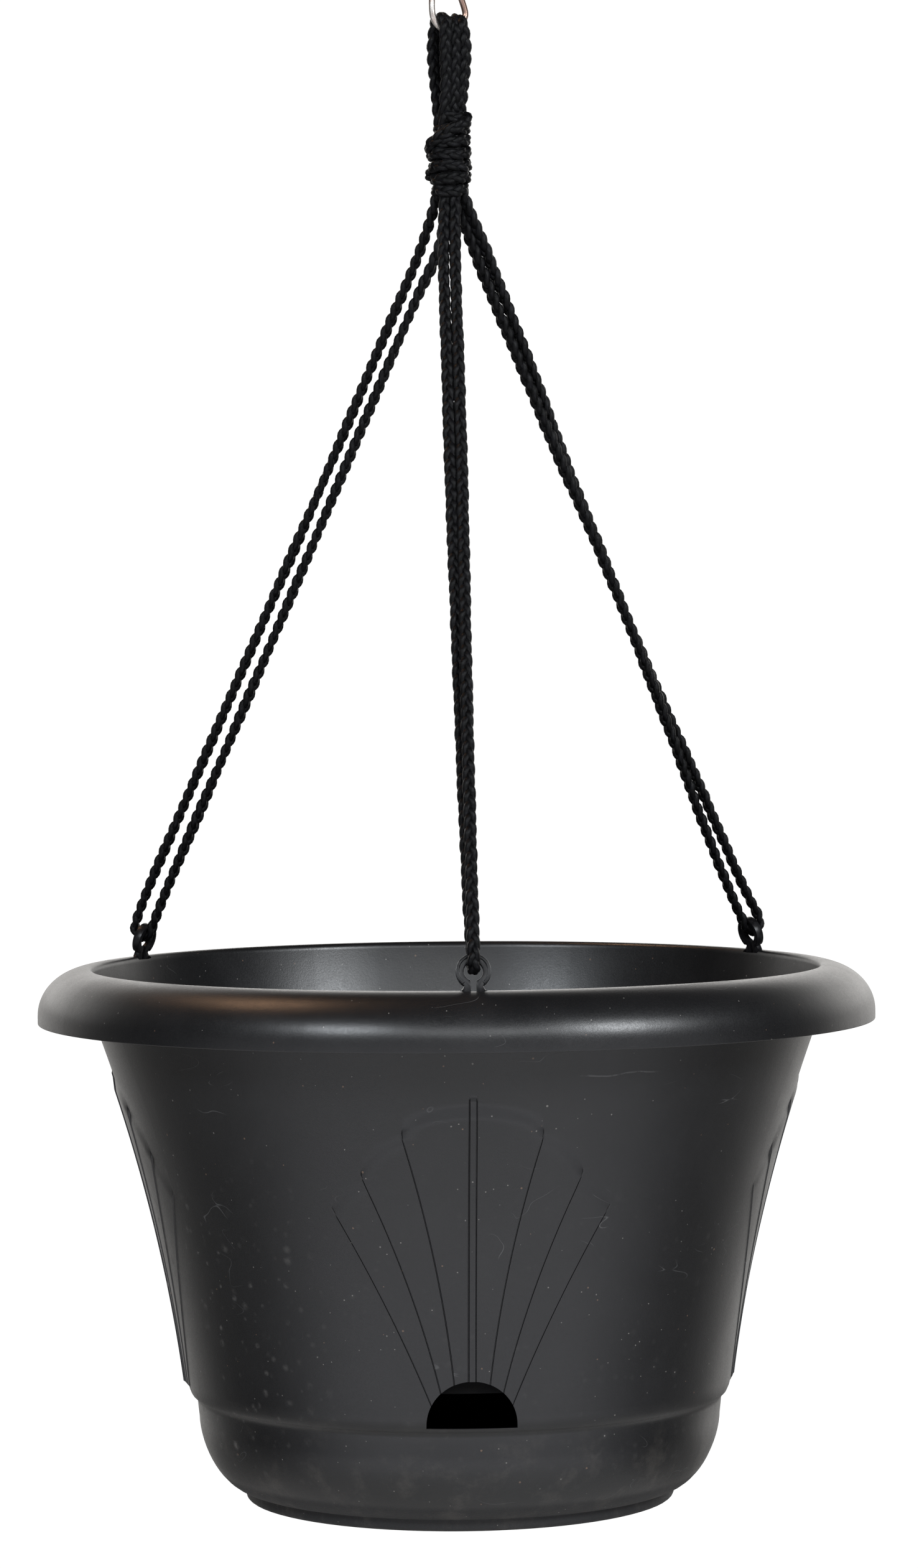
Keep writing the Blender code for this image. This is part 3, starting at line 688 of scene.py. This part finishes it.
# How the whipping bulges: (share of the way down, radius to the cord's middle, shift to the left), mm
KNOT_SHAPE = (
    (0.0, 4.4, -1.3), (0.12, 4.9, -1.1), (0.28, 5.3, -0.8), (0.42, 6.2, -0.1), (0.58, 6.4, 0.2),
    (0.74, 6.1, 0.0), (0.86, 5.6, -0.1), (1.0, 4.6, 0.9),
)
KNOT_TOP_GAP = 0.05               # share of the knot's height left over its first turn
KNOT_WOUND = 1.04
# The end laid slantwise over the turns: (degrees round from the front, radius, share down), mm
KNOT_OVERWRAP = (
    (80, 4.8, 0.02), (52, 6.6, 0.08), (15, 6.9, 0.16), (-30, 7.2, 0.27), (-70, 7.6, 0.37),
    (-105, 7.6, 0.45), (-145, 7.2, 0.52), (-185, 5.4, 0.58),
)
KNOT_TAIL = ((-165, 4.4, 0.60), (-135, 6.0, 0.68), (-108, 7.0, 0.73), (-92, 7.6, 0.77))
KNOT_CORE_RADIUS = 5.2


def build_knot(material):
    """The whipping: turns of the same cord round the strands, an end laid over them and a stub."""
    height = knot_high.z - knot_low.z
    shares, radii, shifts = (np.array(column) for column in zip(*KNOT_SHAPE))

    def place(angle, radius, share):
        shift = np.interp(share, shares, shifts)
        x = radius * math.sin(angle) - shift
        y = -radius * math.cos(angle)
        z = knot_high.z - (KNOT_TOP_GAP + KNOT_WOUND * share) * height
        return Vector((x * MM, y * MM, z))

    turns = []
    steps = int(KNOT_TURNS * 20)
    for i in range(steps + 1):
        share = i / steps
        angle = 1.2 - 2 * math.pi * KNOT_TURNS * share
        sag = 0.03 * math.sin(angle + 0.8) + 0.012 * math.sin(2.3 * angle)
        turns.append(place(angle, np.interp(share, shares, radii), share + sag))
    routes = [turns]
    for points in (KNOT_OVERWRAP, KNOT_TAIL):
        routes.append([place(math.radians(a), r, share) for a, r, share in points])
    tube = TubeMesh()
    for seed, points in enumerate(routes):
        path = smooth_route(points, PLAIT_STEP)
        plait(tube, path, UP, seed + 51)
    core = smooth_route([place(0.0, 0.0, share) for share in np.linspace(0.02, 0.98, 9)], 2 * MM)
    fill = np.interp(np.linspace(0, 1, len(core)), shares, radii) / radii.max() * KNOT_CORE_RADIUS * MM
    tube.add(swept_rings(core, (1.0, 0.0, 0.0), fill, fill, 16), core)
    knot = tube.build("whipping_knot_turns", material)
    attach(knot, "planter")
    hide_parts("whipping_knot")


# ---------- hook

WIRE_RADIUS = 1.15 * MM
HOOK_LOWER_RADIUS = 7.2 * MM
HOOK_UPPER_RADIUS = 9.0 * MM
HOOK_TIP_LENGTH = 5.0 * MM
WIRE_STEP = 0.5 * MM


def arc(centre, radius, start_deg, end_deg, steps):
    """Points on an arc, as (x, z), ends included."""
    points = []
    for i in range(steps + 1):
        angle = math.radians(start_deg + (end_deg - start_deg) * i / steps)
        points.append((centre[0] + radius * math.cos(angle), centre[1] + radius * math.sin(angle)))
    return points


def build_hook(material):
    """The S-hook's wire along the CAD's route, with rounded ends."""
    upper = (0.0, -HOOK_UPPER_RADIUS + WIRE_RADIUS)
    lower = (0.0, Z_BEND + HOOK_LOWER_RADIUS)
    outline = [(HOOK_UPPER_RADIUS, upper[1] - HOOK_TIP_LENGTH)]
    outline += arc(upper, HOOK_UPPER_RADIUS, 0, 180, 12)
    outline += arc(lower, HOOK_LOWER_RADIUS, 0, -180, 10)
    outline.append((-HOOK_LOWER_RADIUS, lower[1] + HOOK_TIP_LENGTH))
    path = smooth_route([HOOK_ALONG * x + UP * z for x, z in outline], WIRE_STEP)
    run = distance_along(path)
    to_end = np.minimum(run, run[-1] - run)
    inside = np.clip(1.0 - to_end / WIRE_RADIUS, 0.0, 0.999)
    radius = WIRE_RADIUS * np.sqrt(1.0 - inside ** 2)
    tube = TubeMesh()
    tube.add(swept_rings(path, HOOK_FORWARD, radius, radius, 20), path)
    hook = tube.build("s_hook_wire", material)
    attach(hook, "hook")
    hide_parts("s_hook")


# ---------- planter shell

WALL = 1.9 * MM
CREST_RADIUS = 132.0 * MM
RIM_ROLL_DROP = 16.5 * MM
RIM_LIP_DROP = 19.5 * MM
RIM_EDGE_ROUND_IN = 0.5 * MM
RIM_EDGE_ROUND_OUT = 0.35 * MM
CREST_ROUND = 2.3 * MM
WALL_TOP_RADIUS = 130.0 * MM
SKIRT_RADIUS = 97.8 * MM
H_SKIRT = -149.0 * MM
FLARE_STRAIGHT_SHARE = 0.53
H_STEP = -154.9 * MM
BOWL_RADIUS = 93.8 * MM
H_BOWL_CURVE = -161.5 * MM
BOWL_CURVE_POWER = 1.7
FOOT_TOP_RADIUS = 78.0 * MM
H_FOOT_TOP = -187.0 * MM
FOOT_RADIUS = 77.2 * MM
FOOT_ROUND = 2.2 * MM
H_BASE = shell_low.z - Z_CREST
BASE_RADII = (0.0, 20.0 * MM, 45.0 * MM, 68.0 * MM)
WALL_ROWS = 1.0 * MM              # spacing of the mesh rows up the flared wall
H_FAN_TOPS = (-77.0 * MM, -35.0 * MM)
# Between bowl and skirt, outside: (radius, height over the step), upwards
STEP_ROUND = 1.3 * MM
STEP_UNDERSIDE = in_mm((94.15, -3.6))
STEP_CORNER = in_mm((94.2, -2.6), (94.5, 0.0), (96.3, 1.6))
STEP_SHOULDER = in_mm((96.2, 1.55), (96.35, 1.75), (96.75, 2.4), (97.25, 3.6), (97.55, 4.8))
# Under the rim's roll, from the wall up and outwards: (radius, height over the crest)
UNDER_RIM = in_mm((131.1, -8.0), (131.5, -4.4), (132.1, -2.7), (133.4, -2.1))
CREST_CORNER = in_mm((133.0, -0.02), (130.6, -0.02), (130.0, -5.5))
WINDOW_RADIUS = 15.6 * MM
H_WINDOW_SILL = -152.5 * MM
WINDOW_SIDE = 1.2 * MM             # the upright part of its edge, under the arch
SLOT_WIDTH = 9.0 * MM
SLOT_DEPTH = 3.6 * MM

# The fan's layers, lowest first, as half-widths from its middle and heights over the crest (mm):
# (bottom height, corner height, width at bottom, width at corner, bow, crown, arch drop, corner drop)
FAN_LAYERS = (
    (-142.6, -75.5, 14.5, 47.4, 5.8, -56.0, 16.0, 3.5),
    (-138.6, -63.8, 10.9, 37.6, 8.8, -44.0, 13.5, 5.0),
    (-135.6, -49.5, 6.15, 24.0, 8.5, -39.0, 5.0, 4.0),
)
H_FANS_END = -30.0 * MM           # over the fans, the mesh columns keep the angles they have here
FAN_COUNT = 4
LAYER_RISE = 0.34
LAYER_BEVEL = 4.8                 # height of the slope along a layer's top
FAN_TOP_ROWS = 0.70 * MM          # spacing of the mesh rows within H_FAN_TOPS
# Each layer's side: the mesh columns at a step, as (distance outwards, share of the rise, depth), mm
STEP_SECTION = (
    (-0.50, 1.0, 0.0), (-0.20, 1.0, 0.0), (-0.06, 0.3, 0.16), (0.06, 0.0, 0.28), (0.16, 0.0, 0.28),
    (0.36, 0.0, 0.0), (0.62, 0.0, 0.0),
)
RIDGE_HALF_WIDTH = 1.15
RIDGE_TOP = -36.4
RIDGE_RISE = 0.65
FAN_FOOT = -152.0                 # below this the wall is plain
BETWEEN_FANS = 8                  # mesh columns from the outer layer to halfway to the next fan


def smoothstep(x):
    x = np.clip(x, 0.0, 1.0)
    return x * x * (3 - 2 * x)


def wall_radius(height, inset=0.0):
    share = (height - H_SKIRT) / (-RIM_LIP_DROP - H_SKIRT)
    bend = FLARE_STRAIGHT_SHARE * share + (1.0 - FLARE_STRAIGHT_SHARE) * share ** 2
    return SKIRT_RADIUS + (WALL_TOP_RADIUS - SKIRT_RADIUS) * bend - inset


def layer_half_width(layer, height_mm):
    """Half-width of a fan layer at each height, in millimetres."""
    low, corner, w_low, w_corner, bow = layer[:5]
    t = np.minimum((height_mm - low) / (corner - low), 1.0)
    return w_low + (w_corner - w_low - bow) * t + bow * t * t


def step_share(distance):
    """Share of a layer's rise, and the groove's depth in mm, at a distance outwards from its edge."""
    outwards, shares, depths = (np.array(column) for column in zip(*STEP_SECTION))
    return np.interp(distance, outwards, shares), np.interp(distance, outwards, depths)


def fan_rise(x_mm, height_mm):
    """How far the wall stands out, in mm, at x_mm from a fan's middle and height_mm over the crest."""
    rise = np.zeros_like(x_mm)
    inner_half, inner_top = np.zeros_like(x_mm), np.zeros_like(x_mm)
    for layer in reversed(FAN_LAYERS):
        half = layer_half_width(layer, height_mm)
        crown, arch, corner_drop = layer[5:]
        share = np.minimum(x_mm / layer[3], 1.0)
        top = crown - arch * share ** 2 - corner_drop * share ** 12
        top = np.where(x_mm < inner_half, inner_top, top)
        inner_half, inner_top = half, top
        under = np.clip((top - height_mm) / LAYER_BEVEL, 0.0, 1.0)
        side, groove = step_share(x_mm - half)
        rise += (LAYER_RISE * side - groove) * under
    side, groove = step_share(x_mm - RIDGE_HALF_WIDTH)
    rise += (RIDGE_RISE * side - groove) * smoothstep((RIDGE_TOP - height_mm) / 1.6)
    return rise * smoothstep((height_mm - FAN_FOOT) / 3.0)


def fan_columns(height_mm, radius_mm):
    """Angles of the mesh columns over half a fan, for each row, so that columns follow the steps."""
    edges = [np.zeros_like(height_mm)]

    def add_between(last, count):
        first = edges[-1]
        for i in range(1, count + 1):
            edges.append(first + (last - first) * i / count)

    def angle(width):
        return np.arcsin(width / radius_mm)

    steps = [np.full_like(height_mm, RIDGE_HALF_WIDTH)]
    steps += [layer_half_width(layer, height_mm) for layer in reversed(FAN_LAYERS)]
    for width, count in zip(steps, (1, 8, 6, 6)):
        add_between(angle(width + STEP_SECTION[0][0]), count)
        for column in STEP_SECTION[1:]:
            edges.append(angle(width + column[0]))
    add_between(np.full_like(height_mm, math.pi / FAN_COUNT), BETWEEN_FANS)
    return np.stack(edges, axis=1)


def rim_roll(inset, steps):
    width, height = RIM_RADIUS - CREST_RADIUS - inset, RIM_ROLL_DROP - inset
    quarter = arc((0.0, 0.0), 1.0, 90, 0, steps)
    return [(CREST_RADIUS + width * out, -RIM_ROLL_DROP + height * up) for out, up in quarter]


def bowl_curve(inset, steps):
    width, height = BOWL_RADIUS - FOOT_TOP_RADIUS, H_BOWL_CURVE - H_FOOT_TOP
    power = 2.0 / BOWL_CURVE_POWER
    quarter = [(out ** power, down ** power) for out, down in arc((0.0, 0.0), 1.0, 0, 90, steps)]
    return [(FOOT_TOP_RADIUS + width * out - inset, H_BOWL_CURVE - height * down) for out, down in quarter]


def rounded(points, radius, steps=4):
    """Rounds the middle one of three profile points with a short curve."""
    a, b, c = (Vector(p) for p in points)
    start = b + (a - b).normalized() * radius
    end = b + (c - b).normalized() * radius
    return [
        tuple(start * (1 - t) ** 2 + b * 2 * t * (1 - t) + end * t * t)
        for t in (i / steps for i in range(steps + 1))
    ]


def outer_profile():
    """The wall's outside up to the rim's underside, base first, as (radius, height, is_flared_wall)."""
    foot_corner = ((BASE_RADII[-1], H_BASE), (FOOT_RADIUS, H_BASE), (FOOT_RADIUS, H_FOOT_TOP))
    points = [(r, H_BASE) for r in BASE_RADII]
    points += rounded(foot_corner, FOOT_ROUND, 6)
    points += [(FOOT_RADIUS, H_FOOT_TOP - 0.6 * MM), (FOOT_RADIUS + 0.2 * MM, H_FOOT_TOP - 0.1 * MM)]
    points += reversed(bowl_curve(0.0, 16))
    step = [*STEP_UNDERSIDE, *rounded(STEP_CORNER, STEP_ROUND), *STEP_SHOULDER]
    points += [(r, H_STEP + z) for r, z in step]
    low_tops, high_tops = H_FAN_TOPS
    heights = [
        *np.arange(H_SKIRT, low_tops, WALL_ROWS), *np.arange(low_tops, high_tops, FAN_TOP_ROWS),
        *np.linspace(high_tops, -RIM_LIP_DROP, 9),
    ]
    return [(r, z, 0) for r, z in points] + [(wall_radius(h), h, 1) for h in heights]


def rim_profile():
    """Under the roll, round its lip, over the crest and to the inside of the wall."""
    lip_in, lip_out = RIM_RADIUS - WALL, RIM_RADIUS
    over_lip = -17.0 * MM
    points = list(UNDER_RIM)
    points += rim_roll(WALL, 14)[2:]
    inner_edge = ((lip_in, over_lip), (lip_in, -RIM_LIP_DROP), (lip_out, -RIM_LIP_DROP))
    outer_edge = ((lip_in, -RIM_LIP_DROP), (lip_out, -RIM_LIP_DROP), (lip_out, over_lip))
    points += rounded(inner_edge, RIM_EDGE_ROUND_IN)
    points += rounded(outer_edge, RIM_EDGE_ROUND_OUT)
    points += reversed(rim_roll(0.0, 26)[3:])
    points += rounded(CREST_CORNER, CREST_ROUND, 8)
    return [(r, z, 0) for r, z in points]


def inner_profile():
    """The wall's inside, from below the rim down to the middle of the base."""
    points = [(wall_radius(h, WALL), h) for h in np.linspace(-RIM_LIP_DROP, H_SKIRT, 34)]
    points += [(95.2 * MM, H_STEP + 2.4 * MM), (BOWL_RADIUS - WALL, H_STEP)]
    points += bowl_curve(WALL, 12)[:-1]
    points += [(r, H_BASE + WALL) for r in (FOOT_TOP_RADIUS - WALL - 0.5 * MM, 40.0 * MM, 0.0)]
    return [(r, z, 0) for r, z in points]


def shell_profile():
    """The wall's whole section as (radius, height, is_flared_wall), without doubled points."""
    cleaned = []
    for p in outer_profile() + rim_profile() + inner_profile():
        if not cleaned or math.hypot(p[0] - cleaned[-1][0], p[1] - cleaned[-1][1]) > 0.02 * MM:
            cleaned.append(p)
    return np.array(cleaned)


def shell_mesh():
    """The lathe-turned wall with the fans raised on its outer face, as a closed mesh."""
    profile = shell_profile()
    radius, height, wall = profile.T
    in_fan = np.clip(height, H_SKIRT, H_FANS_END)
    half = fan_columns(in_fan / MM, wall_radius(in_fan) / MM)
    full = np.concatenate([-half[:, :0:-1], half[:, :-1]], axis=1)
    x_mm = np.abs(np.sin(full)) * wall_radius(in_fan)[:, None] / MM
    rise = fan_rise(x_mm, np.repeat(height[:, None] / MM, full.shape[1], axis=1)) * MM
    rows = radius[:, None] + rise * wall[:, None]
    angles = np.concatenate([full + 2 * math.pi * k / FAN_COUNT for k in range(FAN_COUNT)], axis=1)
    rows = np.tile(rows, (1, FAN_COUNT))
    columns = angles.shape[1]
    inner = slice(1, len(profile) - 1)
    grid = np.stack([
        rows[inner] * np.sin(angles[inner]), -rows[inner] * np.cos(angles[inner]),
        np.repeat(height[inner, None], columns, axis=1) + Z_CREST,
    ], axis=2)
    count = grid.shape[0]
    verts = list(grid.reshape(-1, 3))
    verts += [(0.0, 0.0, Z_CREST + height[0]), (0.0, 0.0, Z_CREST + height[-1])]
    first_pole, last_pole = len(verts) - 2, len(verts) - 1
    faces = list(ring_quads(count, columns))
    top = (count - 1) * columns
    for j in range(columns):
        k = (j + 1) % columns
        faces.append((first_pole, k, j))
        faces.append((last_pole, top + j, top + k))
    return verts, faces


H_CLIP_BEND = 0.9 * MM
CLIP_LEAN = math.radians(16.0)


def lean_inwards(bm):
    """Bends all of an upright clip over H_CLIP_BEND towards +y."""
    geometry = [*bm.verts, *bm.edges, *bm.faces]
    bend = (0.0, 0.0, H_CLIP_BEND)
    bmesh.ops.bisect_plane(bm, geom=geometry, plane_co=bend, plane_no=UP)
    upper = [v for v in bm.verts if v.co.z > H_CLIP_BEND + 0.01 * MM]
    bmesh.ops.rotate(bm, verts=upper, cent=bend, matrix=Matrix.Rotation(-CLIP_LEAN, 3, "X"))


def prism(outline, depth, matrix, bevel=0.0, lean=False):
    """A closed prism: a flat outline of (x, z) points, depth thick along y, placed by matrix."""
    bm = bmesh.new()
    front = [bm.verts.new((x, -depth / 2, z)) for x, z in outline]
    face = bm.faces.new(front)
    grown = bmesh.ops.extrude_face_region(bm, geom=[face])
    moved = [item for item in grown["geom"] if isinstance(item, bmesh.types.BMVert)]
    bmesh.ops.translate(bm, verts=moved, vec=(0.0, depth, 0.0))
    if bevel:
        caps = [e for e in bm.edges if abs(e.verts[0].co.y - e.verts[1].co.y) < 1e-7]
        bmesh.ops.bevel(bm, geom=caps, offset=bevel, segments=2, profile=0.6, affect="EDGES")
    if lean:
        lean_inwards(bm)
    bmesh.ops.transform(bm, matrix=matrix, verts=bm.verts)
    return bm


def boolean(obj, operation, bm, solver="EXACT"):
    """Cuts or joins bm on obj at once, and leaves no helper behind."""
    helper = from_bmesh("helper", bm, None)
    modifier = obj.modifiers.new("cut", "BOOLEAN")
    modifier.operation = operation
    modifier.object = helper
    modifier.solver = solver
    bpy.context.view_layer.update()
    graph = bpy.context.evaluated_depsgraph_get()
    made = bpy.data.meshes.new_from_object(obj.evaluated_get(graph))
    obj.modifiers.clear()
    old = obj.data
    obj.data = made
    made.name = obj.name
    bpy.data.meshes.remove(old)
    bpy.data.objects.remove(helper, do_unlink=True)


def clip_matrix(azimuth_deg):
    turn = Matrix.Rotation(math.radians(azimuth_deg), 4, "Z")
    return turn @ Matrix.Translation((0.0, -CLIP_RADIUS, Z_CREST))


def build_shell(material):
    verts, faces = shell_mesh()
    shell = mesh_object("planter_shell_fans", verts, faces, material)
    sill = Z_CREST + H_WINDOW_SILL
    window = [(-WINDOW_RADIUS, sill), (WINDOW_RADIUS, sill)]
    window += arc((0.0, sill + WINDOW_SIDE), WINDOW_RADIUS, 0, 180, 48)
    placed = Matrix.Translation((0.0, -(SKIRT_RADIUS - 2.0 * MM), 0.0))
    boolean(shell, "DIFFERENCE", prism(window, 24.0 * MM, placed))
    half, low = SLOT_WIDTH / 2, -5.0 * MM
    flared, high = half + 0.7 * MM, 2.0 * MM
    slot = [(-half, low), (half, low), (half, 0.0), (flared, high), (-flared, high), (-half, 0.0)]
    for azimuth in LEGS.values():
        boolean(shell, "DIFFERENCE", prism(slot, SLOT_DEPTH, clip_matrix(azimuth)))
    shade(shell.data, 50.0)
    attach(shell, "planter")
    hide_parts("planter_shell")


# ---------- eye clips

EYE_OUTER_RADIUS = 5.9 * MM
EYE_HOLE_RADIUS = 3.25 * MM
EYE_BEAD = 1.15 * MM
H_EYE = 6.4 * MM
CLIP_THICKNESS = 3.0 * MM
CLIP_WEB = 2.1 * MM
CLIP_NECK_HALF = 3.2 * MM
CLIP_SPLIT_HALF = 0.92 * MM
CLIP_BARB_HALF = 5.3 * MM


def build_eye_clips(material):
    """Split spring clips: a thin web, a raised bead round the eye, and flared barbed legs."""
    neck = math.degrees(math.asin(CLIP_NECK_HALF / EYE_OUTER_RADIUS))
    split = math.degrees(math.asin(CLIP_SPLIT_HALF / EYE_HOLE_RADIUS))
    centre = (0.0, H_EYE)
    leg = [
        (CLIP_SPLIT_HALF, -6.8 * MM), (CLIP_NECK_HALF, -6.8 * MM), (CLIP_BARB_HALF, -3.6 * MM),
        (CLIP_BARB_HALF, -2.6 * MM), *in_mm((3.5, -2.6), (3.5, -0.6), (4.1, 0.1), (3.6, 0.6)),
    ]
    web = leg + arc(centre, EYE_OUTER_RADIUS, -90 + neck, 270 - neck, 56)
    web += [(-x, z) for x, z in reversed(leg)]
    web += arc(centre, EYE_HOLE_RADIUS, 270 - split, -90 + split, 48)
    bead_end = neck + 6.0
    bead = arc(centre, EYE_OUTER_RADIUS + 0.02 * MM, -90 + bead_end, 270 - bead_end, 56)
    bead += arc(centre, EYE_OUTER_RADIUS - EYE_BEAD, 270 - bead_end, -90 + bead_end, 56)
    for side, azimuth in LEGS.items():
        placed = clip_matrix(azimuth)
        body = prism(web, CLIP_WEB, placed, bevel=0.25 * MM, lean=True)
        clip = from_bmesh(f"eye_clip_{side}_moulded", body, material)
        boolean(clip, "UNION", prism(bead, CLIP_THICKNESS, placed, bevel=0.3 * MM, lean=True))
        shade(clip.data, 38.0)
        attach(clip, "planter")
        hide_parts(f"eye_clip_{side}")


# ---------- reservoir floor

FLOOR_RADIUS = 96.9 * MM
FLOOR_THICKNESS = 1.8 * MM
H_FLOOR = -132.0 * MM
H_FLOOR_SKIRT = -140.5 * MM
FLOOR_SKIRT_RADIUS = 96.0 * MM
CUP_COUNT = 4
CUP_PITCH_RADIUS = 52.0 * MM
CUP_TOP_RADIUS = 15.0 * MM
CUP_BOTTOM_RADIUS = 10.5 * MM
CUP_SLOT_WIDTH = 3.2 * MM
CUP_SLOT_HEIGHT = 24.0 * MM
HOLE_RADIUS = 2.6 * MM
HOLE_RINGS = ((14.0 * MM, 4), (30.0 * MM, 8), (80.0 * MM, 12))
RIB_RADII = (22.0 * MM, 72.0 * MM, 88.0 * MM)
RIB_HEIGHT = 0.5 * MM
RIB_HALF_WIDTH = 0.9 * MM
RIB_HALF_TOP = 0.5 * MM
REST_GAP = 0.3 * MM


def turned(profile, segments, centre=(0.0, 0.0)):
    """A closed mesh: the (radius, height) profile, from axis to axis, spun about the vertical."""
    bm = bmesh.new()
    verts = [bm.verts.new((r, 0.0, z)) for r, z in profile]
    edges = [bm.edges.new(pair) for pair in zip(verts, verts[1:])]
    bmesh.ops.spin(
        bm, geom=verts + edges, cent=(0, 0, 0), axis=(0, 0, 1),
        angle=2 * math.pi, steps=segments, use_merge=True,
    )
    bmesh.ops.remove_doubles(bm, verts=bm.verts, dist=1e-6)
    bmesh.ops.translate(bm, verts=bm.verts, vec=(centre[0], centre[1], 0.0))
    bmesh.ops.recalc_face_normals(bm, faces=bm.faces)
    return bm


def merged(parts):
    whole = bmesh.new()
    for part in parts:
        mesh = bpy.data.meshes.new("part")
        part.to_mesh(mesh)
        part.free()
        whole.from_mesh(mesh)
        bpy.data.meshes.remove(mesh)
    return whole


def around(radius, count, offset=0.0):
    """Even places round a circle, as (x, y, angle); offset is a share of their spacing."""
    for i in range(count):
        angle = 2 * math.pi * (i + offset) / count
        yield radius * math.cos(angle), radius * math.sin(angle), angle


def cup_centres():
    return around(CUP_PITCH_RADIUS, CUP_COUNT, 0.5)


def cup_solids(inset):
    """The cups as solids, smaller by inset; with no inset they end inside the plate."""
    bottom = Z_CREST + H_BASE + WALL + REST_GAP + inset
    top = Z_CREST + H_FLOOR + (1.0 * MM if inset else -0.5 * FLOOR_THICKNESS)
    top_edge = (CUP_TOP_RADIUS - inset, top)
    floor = rounded((top_edge, (CUP_BOTTOM_RADIUS - inset, bottom), (0.0, bottom)), 1.2 * MM, 3)
    profile = [(0.0, top), top_edge, *floor, (0.0, bottom)]
    return [turned(profile, 40, (x, y)) for x, y, _ in cup_centres()]


def plate_profile():
    """The floor plate's section: ring ribs on top, a rounded edge and the skirt under it."""
    top = Z_CREST + H_FLOOR
    low = Z_CREST + H_FLOOR_SKIRT
    inner = FLOOR_SKIRT_RADIUS - FLOOR_THICKNESS
    profile = [(0.0, top)]
    for r in RIB_RADII:
        profile += [(r - RIB_HALF_WIDTH, top), (r - RIB_HALF_TOP, top + RIB_HEIGHT)]
        profile += [(r + RIB_HALF_TOP, top + RIB_HEIGHT), (r + RIB_HALF_WIDTH, top)]
    profile += rounded(((90.0 * MM, top), (FLOOR_RADIUS, top), (FLOOR_SKIRT_RADIUS, low)), 1.0 * MM)
    profile += [(FLOOR_SKIRT_RADIUS, low), (inner, low), (inner + 0.2 * MM, top - FLOOR_THICKNESS)]
    profile += [(0.0, top - FLOOR_THICKNESS)]
    return profile


def drain_holes():
    """Cutters for the rings of drain holes."""
    high = Z_CREST + H_FLOOR + 3.0 * MM
    low = Z_CREST + H_FLOOR - 5.0 * MM
    outline = [(0.0, high), (HOLE_RADIUS, high), (HOLE_RADIUS, low), (0.0, low)]
    for ring_radius, count in HOLE_RINGS:
        for x, y, _ in around(ring_radius, count):
            yield turned(outline, 20, (x, y))


def cup_slots(turn):
    """Cutters for one pair of opposite slots in every cup."""
    middle = Z_CREST + H_BASE + WALL + REST_GAP + FLOOR_THICKNESS + CUP_SLOT_HEIGHT / 2
    size = Matrix.Diagonal((3 * CUP_BOTTOM_RADIUS, CUP_SLOT_WIDTH, CUP_SLOT_HEIGHT, 1.0))
    for x, y, angle in cup_centres():
        placed = Matrix.Translation((x, y, middle)) @ Matrix.Rotation(angle + turn, 4, "Z")
        slot = bmesh.new()
        bmesh.ops.create_cube(slot, size=1.0, matrix=placed @ size)
        yield slot


def build_reservoir_floor(material):
    """The perforated false floor with its edge skirt, ring ribs and slotted wick cups."""
    plate = from_bmesh("reservoir_floor_moulded", turned(plate_profile(), 144), material)
    boolean(plate, "UNION", merged(cup_solids(0.0)))
    boolean(plate, "DIFFERENCE", merged([*cup_solids(FLOOR_THICKNESS), *drain_holes()]))
    for turn in (0.0, math.pi / 2):
        boolean(plate, "DIFFERENCE", merged(cup_slots(turn)), "MANIFOLD")
    shade(plate.data, 35.0)
    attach(plate, "floor_insert")
    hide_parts("reservoir_floor")


# ---------- the object

make_camera()
fibre = cord_fibre()
build_leg_cords(fibre)
build_loop_cords(fibre)
build_knot(fibre)
build_hook(hook_steel())
build_eye_clips(clip_plastic())
build_shell(planter_plastic())
build_reservoir_floor(floor_plastic())
make_studio()
